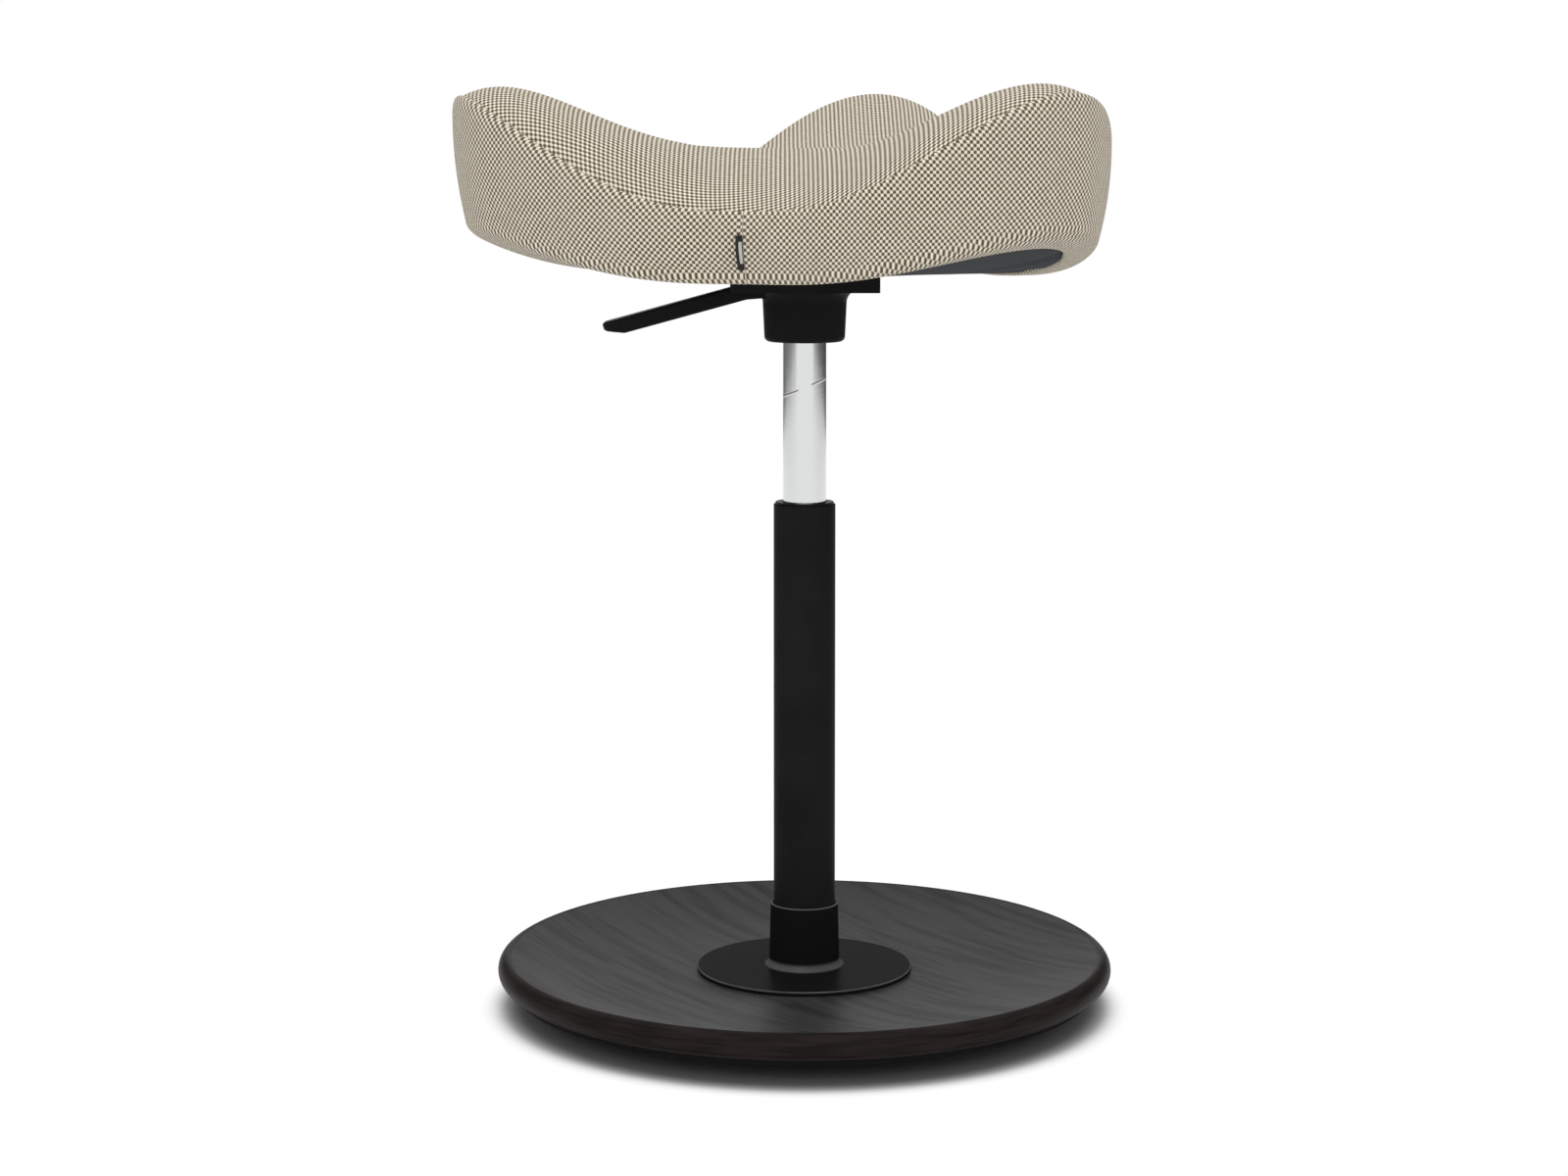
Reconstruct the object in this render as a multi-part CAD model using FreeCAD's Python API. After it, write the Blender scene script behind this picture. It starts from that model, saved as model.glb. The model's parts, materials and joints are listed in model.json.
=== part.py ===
import FreeCAD, Part
import math
import os

# Wobble stool, millimetres, +Z up. The origin is the middle of the sole's flat
# centre, on the floor. One dip of the three-lobed seat faces -Y.

# How far a cutting shape runs past what it cuts.
cut_margin = 5.0

# Base: a dished plywood disc on a thin rubber sole that curves up to the rim.
base_radius = 200.0
disc_thickness = 17.0
sole_thickness = 3.5
flat_margin = 2.0
rim_rise = 12.5
rim_round = 7.0
sole_inset = 3.0
glue_gap = 0.3

# Flange and collar that carry the column, bolted from below.
flange_radius = 70.0
flange_thickness = 3.0
flange_chamfer = 0.6
collar_height = 41.5
collar_foot_wall = 2.85
collar_top_wall = 1.85
collar_fillet = 4.5
collar_lip_chamfer = 0.8
socket_gap = 0.15
stud_count = 4
stud_circle_radius = 52.0
first_stud_turn = 45.0
stud_radius = 4.0
stud_hole_gap = 0.4
stud_showing = 0.4
stud_floor_gap = 1.0
counterbore_gap = 2.5
washer_radius = 8.0
washer_thickness = 1.6
nut_across_flats = 13.0
nut_height = 6.5
thread_gap = 0.05

# Outer tube of the column and its foot.
tube_radius = 20.0
tube_wall = 2.0
foot_lip_reach = 3.0
foot_lip_offset = 1.5
foot_lip_thickness = 3.0
end_plate_thickness = 4.0
end_plate_hole_gap = 0.3
bush_length = 60.0
bush_rim_height = 1.5
bush_rim_width = 1.0
running_gap = 0.05
loose_gap = 0.1
axial_gap = 0.3

# Thrust bearing at the foot of the rod.
race_width = 4.1
race_thickness = 1.5
race_hole_gap = 0.4
ball_radius = 1.5
ball_count = 10
track_inset = 2.0
ball_gap = 0.05
cage_thickness = 1.4
cage_pocket_gap = 0.15
cage_inner_gap = 0.5

# Gas lift: a chromed cylinder that slides on a thin rod.
rod_radius = 5.0
rod_foot_length = 3.5
clip_width = 3.5
clip_thickness = 1.2
clip_groove_depth = 0.8
clip_mouth = 4.0
bump_height = 16.4
bump_width = 4.0
travel_up = 95.0
travel_down = 95.0
stop_gap = 0.5
tube_overlap = 22.0
lowest_showing = 8.5
cylinder_radius = 14.0
cylinder_wall = 2.0
cylinder_lip_reach = 2.0
cylinder_lip_thickness = 1.5
end_guide_length = 21.5
seal_width = 4.0
seal_pocket_depth = 6.0
piston_gap = 12.0
piston_length = 12.0
ring_groove_depth = 1.75
ring_height = 3.6
piston_nut_flats = 16.0
piston_nut_height = 4.0
rod_thread_end = 2.0
valve_length = 32.0
valve_pin_depth = 20.0
cylinder_cap = 2.0
taper_start = 4.0
taper_length = 22.0
taper_drop = 0.8
pin_radius = 3.0
pin_length = 24.0
pin_showing = 6.0
pin_chamfer = 1.0

# Bracket under the seat: a square plate on a round hub, turned with the lever.
bracket_turn = 14.9
plate_size = 94.3
plate_thickness = 9.3
plate_corner = 3.0
hub_height = 33.0
hub_foot_radius = 26.0
hub_top_radius = 27.0
hub_flare = 8.0
hub_foot_corner = 3.5
hub_mouth_gap = 1.0
hub_mouth_depth = 2.0
socket_wall = 3.2
socket_top_gap = 1.0
slot_floor_gap = 1.5
slot_side_gap = 0.5
slot_inner_end = 7.0
screw_edge_distance = 11.15
screw_radius = 3.0
screw_head_radius = 5.2
screw_head_height = 3.4
screw_pocket_gap = 0.8
screw_pocket_depth = 4.2
screw_hole_gap = 0.4
key_flats = 4.0
key_depth = 2.0

# Height lever: a flat paddle that droops to the left, on a cross pin.
pivot_offset = 23.6
pivot_below_top = 5.6
pivot_radius = 2.0
pivot_bite = 5.0
lever_width = 26.0
lever_thickness = 9.0
lever_length = 108.0
lever_droop = 15.3
lever_tip_corner = 9.0
lever_tip_facet = 14.0
lever_tip_edge = 3.0
finger_reach = 4.0
finger_thickness = 5.7
finger_gap = 0.3

# Seat: a round-cornered triangle, each size given at a lobe and at a dip.
lobe_count = 3
lobe_reach = 229.0
dip_reach = 152.0
outline_squareness = 1.2
lobe_seam_height = 113.2
dip_seam_height = 42.6
seam_flatness = 7.1
lobe_edge_height = 31.6
dip_edge_height = 0.0
edge_flatness = 3.5
middle_height = 81.4
crown = 19.0
crown_power = 2.15
crown_edge_power = 8.0
lobe_lean = 10.0
dip_lean = 6.0
wall_bulge = 2.0
seam_inset = 3.0
seam_drop = 9.0
edge_corner = 6.0
under_power = 3.0
flat_share = 0.2
arcs_per_lobe = 6
under_shares = (0.45, 0.68, 0.84, 0.93)
top_shares = (1.0, 0.97, 0.92, 0.85, 0.76, 0.66, 0.55, 0.42)
cover_thickness = 2.5
layer_gap = 0.3
shell_thickness = 9.0
shell_inset = 14.0
hem_width = 20.0
hem_gap = 0.5
lining_thickness = 1.8
tee_flange_radius = 9.0
tee_flange_thickness = 1.2
tee_barrel_radius = 4.2
tag_shares = (0.12, 0.82)
tag_reach = 10.0
tag_thickness = 1.6
tag_corner = 3.0
tag_turn = 24.0

# Widths that follow from the sizes above.
flat_radius = flange_radius + flat_margin
rim_arris_radius = base_radius - rim_round
sole_radius = rim_arris_radius - sole_inset
counterbore_radius = washer_radius + counterbore_gap
counterbore_depth = washer_thickness + nut_height + stud_showing + stud_floor_gap
tube_bore = tube_radius - tube_wall
foot_lip_radius = tube_bore - foot_lip_reach
collar_bore = tube_radius + socket_gap
collar_foot_radius = collar_bore + collar_foot_wall
collar_top_radius = collar_bore + collar_top_wall
race_radius = rod_radius + race_hole_gap + race_width
ball_circle_radius = race_radius - track_inset
clip_radius = rod_radius + clip_width
bump_radius = rod_radius + bump_width
seal_pocket_radius = rod_radius + seal_width
cylinder_bore = cylinder_radius - cylinder_wall
cylinder_lip_radius = cylinder_bore - cylinder_lip_reach
hub_mouth_radius = cylinder_radius + hub_mouth_gap
socket_radius = cylinder_radius + socket_wall
screw_spread = plate_size / 2 - screw_edge_distance
screw_pocket_radius = screw_head_radius + screw_pocket_gap

# Heights that follow from the sizes above.
disc_top = sole_thickness + disc_thickness
flange_top = disc_top + flange_thickness
collar_top = flange_top + collar_height
lip_bottom = flange_top + foot_lip_offset
end_plate_bottom = lip_bottom + foot_lip_thickness
end_plate_top = end_plate_bottom + end_plate_thickness
ball_centre = end_plate_top + race_thickness + ball_gap + ball_radius
upper_race_bottom = ball_centre + ball_radius + ball_gap
bump_bottom = upper_race_bottom + race_thickness + loose_gap
bump_top = bump_bottom + bump_height
rod_bottom = end_plate_bottom - rod_foot_length
cylinder_foot = bump_top + stop_gap + travel_down
tube_top = bump_top + stop_gap + travel_down + travel_up + tube_overlap + bush_length
bush_top = tube_top + bush_rim_height
hub_bottom = bush_top + lowest_showing + travel_down
plate_bottom = hub_bottom + hub_height
plate_top = plate_bottom + plate_thickness
cylinder_top = hub_bottom + taper_start + taper_length
end_guide_bottom = cylinder_foot + cylinder_lip_thickness
end_guide_top = end_guide_bottom + end_guide_length
piston_bottom = end_guide_top + travel_up + piston_gap
piston_top = piston_bottom + piston_length
rod_top = piston_top + loose_gap + piston_nut_height + rod_thread_end
valve_top = cylinder_top - cylinder_cap - loose_gap
valve_bottom = valve_top - valve_length
pin_top = cylinder_top + pin_showing
slot_floor = cylinder_top + slot_floor_gap
pivot_z = plate_top - pivot_below_top
under_z = plate_top + layer_gap


def vec(x, y, z):
    return FreeCAD.Vector(x, y, z)


UP = vec(0, 0, 1)
CENTRE = vec(0, 0, 0)


def cylinder(radius, low, high, x=0.0, y=0.0):
    return Part.makeCylinder(radius, high - low, vec(x, y, low))


def ring(outer, inner, low, high, x=0.0, y=0.0):
    hole = cylinder(inner, low - cut_margin, high + cut_margin, x, y)
    return cylinder(outer, low, high, x, y).cut(hole)


def line(start, end):
    return Part.LineSegment(start, end).toShape()


def arc(start, middle, end):
    return Part.Arc(start, middle, end).toShape()


def spin(edges):
    """Turn a closed outline in the XZ plane a full turn about Z."""
    return Part.Face(Part.Wire(edges)).revolve(CENTRE, UP, 360)


def spin_points(points):
    """Turn a closed polygon of (radius, height) points about Z."""
    corners = [vec(r, 0, z) for r, z in points]
    return spin([line(a, b) for a, b in zip(corners, corners[1:] + corners[:1])])


def around(count, radius, first=0.0):
    """Places evenly spaced on a circle."""
    turns = [math.radians(first + 360.0 * i / count) for i in range(count)]
    return [(radius * math.cos(t), radius * math.sin(t)) for t in turns]


def hexagon(flats, low, high, x=0.0, y=0.0):
    points = [vec(px + x, py + y, low) for px, py in around(6, flats / math.sqrt(3))]
    return Part.Face(Part.makePolygon(points + points[:1])).extrude(vec(0, 0, high - low))


def hex_nut(flats, bore, low, high, x=0.0, y=0.0):
    hole = cylinder(bore, low - cut_margin, high + cut_margin, x, y)
    return hexagon(flats, low, high, x, y).cut(hole)


def with_bracket(shape):
    """Turn a shape from the bracket's own frame into the stool's frame."""
    shape.rotate(CENTRE, UP, bracket_turn)
    return shape


def bracket_place(x, y):
    turn = math.radians(bracket_turn)
    return (x * math.cos(turn) - y * math.sin(turn), x * math.sin(turn) + y * math.cos(turn))


# Base

def dish_radius():
    """Radius of the arc that lifts the disc from its flat centre to the rim."""
    run = rim_arris_radius - flat_radius
    return (run * run + rim_rise * rim_rise) / (2 * rim_rise)


def dish_rise(radius):
    run = max(0.0, radius - flat_radius)
    return dish_radius() - math.sqrt(dish_radius() ** 2 - run * run)


def dish_arc(start, end, floor):
    """The dish's arc between two radii, lifted to a height."""
    middle = (start + end) / 2
    return arc(*[vec(r, 0, floor + dish_rise(r)) for r in (start, middle, end)])


def base_disc():
    rim_top = vec(rim_arris_radius, 0, disc_top + rim_rise)
    rim_bottom = vec(rim_arris_radius, 0, sole_thickness + rim_rise)
    nose = vec(base_radius, 0, (rim_top.z + rim_bottom.z) / 2)
    disc = spin([
        line(vec(0, 0, sole_thickness), vec(flat_radius, 0, sole_thickness)),
        dish_arc(flat_radius, rim_arris_radius, sole_thickness),
        arc(rim_bottom, nose, rim_top),
        dish_arc(rim_arris_radius, flat_radius, disc_top),
        line(vec(flat_radius, 0, disc_top), vec(0, 0, disc_top)),
        line(vec(0, 0, disc_top), vec(0, 0, sole_thickness)),
    ])
    for x, y in around(stud_count, stud_circle_radius, first_stud_turn):
        disc = disc.cut(cylinder(stud_radius + stud_hole_gap, 0, disc_top + cut_margin, x, y))
        pocket_top = sole_thickness + counterbore_depth
        disc = disc.cut(cylinder(counterbore_radius, 0, pocket_top, x, y))
    return disc


def base_sole():
    top = sole_thickness - glue_gap
    return spin([
        line(vec(0, 0, 0), vec(flat_radius, 0, 0)),
        dish_arc(flat_radius, sole_radius, 0),
        line(vec(sole_radius, 0, dish_rise(sole_radius)),
             vec(sole_radius, 0, top + dish_rise(sole_radius))),
        dish_arc(sole_radius, flat_radius, top),
        line(vec(flat_radius, 0, top), vec(flat_radius, 0, sole_thickness)),
        line(vec(flat_radius, 0, sole_thickness), vec(0, 0, sole_thickness)),
        line(vec(0, 0, sole_thickness), vec(0, 0, 0)),
    ])


def socket_flange():
    fillet_low = vec(collar_foot_radius + collar_fillet, 0, flange_top)
    fillet_high = vec(collar_foot_radius, 0, flange_top + collar_fillet)
    bend = collar_fillet * (1 - math.sqrt(0.5))
    outline = [
        vec(foot_lip_radius, 0, disc_top),
        vec(flange_radius, 0, disc_top),
        vec(flange_radius, 0, flange_top - flange_chamfer),
        vec(flange_radius - flange_chamfer, 0, flange_top),
        fillet_low,
    ]
    collar = [
        fillet_high,
        vec(collar_top_radius, 0, collar_top - collar_lip_chamfer),
        vec(collar_top_radius - collar_lip_chamfer, 0, collar_top),
        vec(collar_bore, 0, collar_top),
        vec(collar_bore, 0, flange_top),
        vec(foot_lip_radius, 0, flange_top),
        outline[0],
    ]
    edges = [line(a, b) for a, b in zip(outline, outline[1:])]
    edges.append(arc(fillet_low, fillet_low + vec(bend - collar_fillet, 0, bend), fillet_high))
    edges += [line(a, b) for a, b in zip(collar, collar[1:])]
    return spin(edges)


def flange_studs():
    places = around(stud_count, stud_circle_radius, first_stud_turn)
    low = sole_thickness + stud_floor_gap
    return [cylinder(stud_radius, low, disc_top, x, y) for x, y in places]


def flange_washers():
    high = sole_thickness + counterbore_depth
    low = high - washer_thickness
    places = around(stud_count, stud_circle_radius, first_stud_turn)
    return [ring(washer_radius, stud_radius + stud_hole_gap, low, high, x, y) for x, y in places]


def flange_nuts():
    high = sole_thickness + counterbore_depth - washer_thickness
    low = high - nut_height
    bore = stud_radius + thread_gap
    places = around(stud_count, stud_circle_radius, first_stud_turn)
    return [hex_nut(nut_across_flats, bore, low, high, x, y) for x, y in places]


# Column

def outer_tube():
    return spin_points([
        (tube_radius, flange_top), (tube_radius, tube_top), (tube_bore, tube_top),
        (tube_bore, end_plate_bottom), (foot_lip_radius, end_plate_bottom),
        (foot_lip_radius, lip_bottom), (tube_bore, lip_bottom), (tube_bore, flange_top),
    ])


def tube_end_plate():
    hole = rod_radius + end_plate_hole_gap
    return ring(tube_bore - loose_gap, hole, end_plate_bottom, end_plate_top)


def guide_bush():
    inner = cylinder_radius + running_gap
    rim = tube_radius - bush_rim_width
    return spin_points([
        (inner, tube_top - bush_length), (tube_bore - loose_gap, tube_top - bush_length),
        (tube_bore - loose_gap, tube_top), (rim, tube_top), (rim, bush_top), (inner, bush_top),
    ])


def bearing_lower_race():
    hole = rod_radius + race_hole_gap
    return ring(race_radius, hole, end_plate_top, end_plate_top + race_thickness)


def bearing_cage():
    low = ball_centre - cage_thickness / 2
    high = ball_centre + cage_thickness / 2
    cage = ring(race_radius, rod_radius + cage_inner_gap, low, high)
    pocket = ball_radius + cage_pocket_gap
    for x, y in around(ball_count, ball_circle_radius):
        cage = cage.cut(cylinder(pocket, low - cut_margin, high + cut_margin, x, y))
    return cage


def bearing_balls():
    places = around(ball_count, ball_circle_radius)
    return [Part.makeSphere(ball_radius, vec(x, y, ball_centre)) for x, y in places]


def bearing_upper_race():
    high = upper_race_bottom + race_thickness
    return ring(race_radius, rod_radius + loose_gap, upper_race_bottom, high)


# Gas lift

def clip_span():
    high = end_plate_bottom - axial_gap
    return high - clip_thickness, high


def piston_rod():
    low, high = clip_span()
    rod = cylinder(rod_radius, rod_bottom, rod_top)
    groove_floor = rod_radius - clip_groove_depth
    groove = ring(rod_radius + cut_margin, groove_floor, low - loose_gap, high + loose_gap)
    return rod.cut(groove)


def retaining_clip():
    low, high = clip_span()
    clip = ring(clip_radius, rod_radius - clip_groove_depth + thread_gap, low, high)
    mouth = Part.makeBox(clip_radius + cut_margin, clip_mouth, clip_thickness + 2 * cut_margin,
                         vec(0, -clip_mouth / 2, low - cut_margin))
    return clip.cut(mouth)


def bump_stop():
    return ring(bump_radius, rod_radius + loose_gap, bump_bottom, bump_top)


def ring_groove(bottom, length):
    """The middle of a seal's groove in a plug of the cylinder's bore."""
    middle = bottom + length / 2
    return middle - ring_height / 2, middle + ring_height / 2


def plug(bottom, length, hole, hole_floor):
    """A plug in the cylinder's bore with a seal groove and a centre hole."""
    low, high = ring_groove(bottom, length)
    body = cylinder(cylinder_bore - running_gap, bottom, bottom + length)
    groove = ring(cylinder_bore + cut_margin, cylinder_bore - ring_groove_depth, low, high)
    return body.cut(groove).cut(cylinder(hole, hole_floor, bottom + length + cut_margin))


def plug_seal(bottom, length):
    low, high = ring_groove(bottom, length)
    inner = cylinder_bore - ring_groove_depth + thread_gap
    return ring(cylinder_bore - running_gap, inner, low + loose_gap, high - loose_gap)


def piston():
    return plug(piston_bottom, piston_length, rod_radius + thread_gap, piston_bottom - cut_margin)


def piston_nut():
    low = piston_top + loose_gap
    return hex_nut(piston_nut_flats, rod_radius + thread_gap, low, low + piston_nut_height)


def cylinder_radius_at(height):
    share = (height - hub_bottom - taper_start) / taper_length
    return cylinder_radius - taper_drop * max(0.0, share)


def gas_cylinder():
    taper_bottom = hub_bottom + taper_start
    return spin_points([
        (cylinder_lip_radius, cylinder_foot), (cylinder_radius, cylinder_foot),
        (cylinder_radius, taper_bottom), (cylinder_radius - taper_drop, cylinder_top),
        (pin_radius + axial_gap, cylinder_top), (pin_radius + axial_gap, cylinder_top - cylinder_cap),
        (cylinder_bore, cylinder_top - cylinder_cap), (cylinder_bore, end_guide_bottom),
        (cylinder_lip_radius, end_guide_bottom),
    ])


def cylinder_end_guide():
    bore = rod_radius + running_gap
    outer = cylinder_bore - running_gap
    pocket = end_guide_top - seal_pocket_depth
    return spin_points([
        (bore, end_guide_bottom), (outer, end_guide_bottom), (outer, end_guide_top),
        (seal_pocket_radius, end_guide_top), (seal_pocket_radius, pocket), (bore, pocket),
    ])


def rod_seal():
    low = end_guide_top - seal_pocket_depth + loose_gap
    return ring(seal_pocket_radius - loose_gap, rod_radius + running_gap, low,
                end_guide_top - loose_gap)


def valve_body():
    return plug(valve_bottom, valve_length, pin_radius + loose_gap, valve_top - valve_pin_depth)


def release_pin():
    low = pin_top - pin_length
    pin = cylinder(pin_radius, low, pin_top)
    rim = [edge for edge in pin.Edges if edge.BoundBox.ZMin > pin_top - loose_gap]
    return pin.makeChamfer(pin_chamfer, rim)


# Bracket and lever, drawn with the lever pointing along -X

def taper_socket():
    low = hub_bottom + hub_mouth_depth + loose_gap
    high = cylinder_top + socket_top_gap
    taper_bottom = hub_bottom + taper_start
    bore = cylinder_radius + thread_gap
    return spin_points([
        (bore, low), (socket_radius, low), (socket_radius, high),
        (cylinder_radius_at(high) + thread_gap, high), (bore, taper_bottom),
    ])


def hub():
    corner = hub_foot_corner
    bend = corner * (1 - math.sqrt(0.5))
    foot_inner = vec(hub_foot_radius - corner, 0, hub_bottom)
    foot_outer = vec(hub_foot_radius, 0, hub_bottom + corner)
    foot_bend = vec(hub_foot_radius - bend, 0, hub_bottom + bend)
    flare_low = vec(hub_top_radius, 0, plate_bottom - hub_flare)
    flare_high = vec(hub_top_radius + hub_flare, 0, plate_bottom)
    sag = hub_flare * (1 - math.sqrt(0.5))
    flare_bend = flare_low + vec(sag, 0, hub_flare - sag)
    middle = vec(0, 0, plate_bottom)
    return spin([
        line(vec(0, 0, hub_bottom), foot_inner),
        arc(foot_inner, foot_bend, foot_outer),
        line(foot_outer, flare_low),
        arc(flare_low, flare_bend, flare_high),
        line(flare_high, middle),
        line(middle, vec(0, 0, hub_bottom)),
    ])


def screw_places():
    return [(sx * screw_spread, sy * screw_spread) for sx in (-1, 1) for sy in (-1, 1)]


def slot_half_width():
    return lever_width / 2 + slot_side_gap


def pivot_half_length():
    return slot_half_width() + pivot_bite


def seat_bracket():
    half = plate_size / 2
    plate = Part.makeBox(plate_size, plate_size, plate_thickness, vec(-half, -half, plate_bottom))
    upright = [e for e in plate.Edges if e.BoundBox.ZLength > plate_thickness / 2]
    bracket = plate.makeFillet(plate_corner, upright).fuse(hub()).removeSplitter()
    mouth_top = hub_bottom + hub_mouth_depth
    bracket = bracket.cut(cylinder(hub_mouth_radius, hub_bottom - cut_margin, mouth_top))
    bracket = bracket.cut(cylinder(socket_radius + loose_gap, mouth_top, slot_floor))
    slot = Part.makeBox(half + cut_margin + slot_inner_end, 2 * slot_half_width(),
                        plate_top + cut_margin - slot_floor,
                        vec(-half - cut_margin, -slot_half_width(), slot_floor))
    bracket = bracket.cut(slot)
    pin = Part.makeCylinder(pivot_radius + thread_gap, 2 * pivot_half_length() + 2 * loose_gap,
                            vec(-pivot_offset, -pivot_half_length() - loose_gap, pivot_z),
                            vec(0, 1, 0))
    bracket = bracket.cut(pin)
    for x, y in screw_places():
        pocket_top = plate_bottom + screw_pocket_depth
        bracket = bracket.cut(cylinder(screw_pocket_radius, plate_bottom - cut_margin, pocket_top, x, y))
        hole = screw_radius + screw_hole_gap
        bracket = bracket.cut(cylinder(hole, plate_bottom, plate_top + cut_margin, x, y))
    return with_bracket(bracket)


def lever_pivot_pin():
    pin = Part.makeCylinder(pivot_radius, 2 * pivot_half_length(),
                            vec(-pivot_offset, -pivot_half_length(), pivot_z), vec(0, 1, 0))
    return with_bracket(pin)


def lever_outline():
    """The lever's side view: a level finger over the pin, then the drooping arm."""
    droop = math.radians(lever_droop)
    along = vec(-math.cos(droop), 0, -math.sin(droop))
    upright = vec(-math.sin(droop), 0, math.cos(droop))
    pivot = vec(-pivot_offset, 0, pivot_z)
    half = lever_thickness / 2
    finger_low = pin_top + finger_gap
    finger_high = finger_low + finger_thickness
    tip = pivot + along * lever_length
    return [
        vec(finger_reach, 0, finger_low),
        vec(finger_reach, 0, finger_high),
        vec(-pivot_offset + half, 0, finger_high),
        pivot + upright * half,
        tip + upright * half,
        tip + upright * (half - lever_tip_edge),
        tip - along * lever_tip_facet - upright * half,
        pivot - upright * half,
        vec(-pivot_offset + half, 0, finger_low),
    ]


def height_lever():
    points = lever_outline()
    side = Part.Face(Part.makePolygon(points + points[:1]))
    side.translate(vec(0, -lever_width / 2, 0))
    lever = side.extrude(vec(0, lever_width, 0))
    tip_x = min(point.x for point in points)
    plan = Part.makeBox(finger_reach - tip_x, lever_width, plate_top,
                        vec(tip_x, -lever_width / 2, 0))
    tip_edges = [e for e in plan.Edges
                 if e.BoundBox.ZLength > lever_thickness and e.BoundBox.XMax < tip_x + cut_margin]
    plan = plan.makeFillet(lever_tip_corner, tip_edges)
    bore = Part.makeCylinder(pivot_radius + running_gap, lever_width + 2 * cut_margin,
                             vec(-pivot_offset, -lever_width / 2 - cut_margin, pivot_z),
                             vec(0, 1, 0))
    return with_bracket(lever.common(plan).cut(bore))


def screw_head_bottom():
    return plate_bottom + screw_pocket_depth - screw_head_height


def seat_screws():
    head_low = screw_head_bottom()
    head_high = plate_bottom + screw_pocket_depth
    screws = []
    for x, y in screw_places():
        screw = cylinder(screw_head_radius, head_low, head_high, x, y)
        screw = screw.fuse(cylinder(screw_radius, head_low + key_depth, tee_top(), x, y))
        screw = screw.removeSplitter()
        key = hexagon(key_flats, head_low - cut_margin, head_low + key_depth, x, y)
        screws.append(screw.cut(key))
    return with_bracket(Part.makeCompound(screws))


# Seat

def lobed(at_lobe, at_dip, flatness, turn):
    """A size that swings from lobes to dips; flatness widens the dips."""
    base = (at_lobe + at_dip) / 2 - flatness
    swing = (at_lobe - at_dip) / 2
    return base + swing * math.cos(lobe_count * turn) + flatness * math.cos(2 * lobe_count * turn)


def outline(turn):
    return lobed(lobe_reach, dip_reach, outline_squareness, turn)


def wall_lean(turn):
    """How far the side leans in from the seam to the lower edge."""
    return lobed(lobe_lean, dip_lean, 0.0, turn)


def edge_outline(turn):
    return outline(turn) - wall_lean(turn)


def seam_outline(turn):
    return outline(turn) - seam_inset


def seam_z(turn):
    return under_z + lobed(lobe_seam_height, dip_seam_height, seam_flatness, turn)


def edge_z(turn):
    return under_z + lobed(lobe_edge_height, dip_edge_height, edge_flatness, turn)


def underside(radius, turn):
    """The underside lies flat in the middle and climbs to its edge."""
    share = radius / edge_outline(turn)
    return under_z + (edge_z(turn) - under_z) * share ** under_power


def upper_side(share, turn):
    """The top swells from the middle to a crest, then drops to the seam."""
    middle = under_z + middle_height
    swell = (math.sin(math.pi * share / 2) ** 2) ** crown_power
    crest = seam_z(turn) + crown
    return middle + (crest - middle) * swell - crown * share ** crown_edge_power


def lobed_wire(radius_at, height_at):
    """A closed wire of arcs through points worked out around the seat."""
    count = 2 * arcs_per_lobe * lobe_count
    points = []
    for i in range(count):
        turn = 2 * math.pi * i / count
        radius = radius_at(turn)
        place = turn + math.pi / 2
        points.append(vec(radius * math.cos(place), radius * math.sin(place),
                          height_at(radius, turn)))
    points.append(points[0])
    return Part.Wire([arc(*points[i:i + 3]) for i in range(0, count, 2)])


def skin_loft(rings, closed=False):
    """A solid through rings, each a radius and a height worked out by turn."""
    return Part.makeLoft([lobed_wire(*ring_pair) for ring_pair in rings], True, True, closed)


def level(height):
    return lambda radius, turn: height


def share_of(edge, share):
    return lambda turn: edge(turn) * share


def drawn_in(edge, inset):
    return lambda turn: edge(turn) - inset


def above_underside(lift):
    return lambda radius, turn: underside(radius, turn) + lift


def under_rings(edge, lift):
    """Rings along the underside, lifted, from the flat middle to an edge."""
    rings = [(share_of(edge, flat_share), level(under_z + lift))]
    for share in under_shares + (1.0,):
        rings.append((share_of(edge, share), above_underside(lift)))
    return rings


def side_radius(share, turn):
    """Radius of the slightly bulged side, from its foot (0) to its head (1)."""
    return edge_outline(turn) + wall_lean(turn) * share + 4 * wall_bulge * share * (1 - share)


def side_height(share, turn, inset=0.0):
    foot = edge_z(turn) + edge_corner + inset / 2
    return foot + (seam_z(turn) - inset - seam_drop - foot) * share


def wall_rings(inset):
    """Rings from the lower corner up the side to the rounding at the seam."""
    corner = edge_corner - inset / 2

    def corner_ring(angle):
        return (lambda t: edge_outline(t) - inset - corner * (1 - math.sin(angle)),
                lambda r, t: edge_z(t) + inset + corner * (1 - math.cos(angle)))

    def side_ring(share):
        return (lambda t: side_radius(share, t) - inset,
                lambda r, t: side_height(share, t, inset))

    def rounding_ring(angle):
        return (lambda t: seam_outline(t) - inset + seam_inset * math.cos(angle),
                lambda r, t: seam_z(t) - inset - seam_drop * (1 - math.sin(angle)))

    rings = [corner_ring(a * math.pi) for a in (0.25, 0.5)]
    rings += [side_ring(s) for s in (0.25, 0.5, 0.75, 1.0)]
    return rings + [rounding_ring(a * math.pi) for a in (0.17, 0.33)]


def top_rings(inset):
    """Rings over the top from the seam to the flat middle."""
    def top_ring(share):
        return (lambda t: (seam_outline(t) - inset) * share,
                lambda r, t: upper_side(share, t) - inset)

    rings = [top_ring(share) for share in top_shares]
    middle = share_of(drawn_in(seam_outline, inset), flat_share)
    return rings + [(middle, level(under_z + middle_height - inset))]


def sheet_solid(edge, low_lift, high_lift):
    """A sheet of even thickness that follows the underside."""
    rings = under_rings(edge, low_lift) + under_rings(edge, high_lift)[::-1]
    return skin_loft(rings)


def hem_outline(turn):
    return edge_outline(turn) - hem_width


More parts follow.
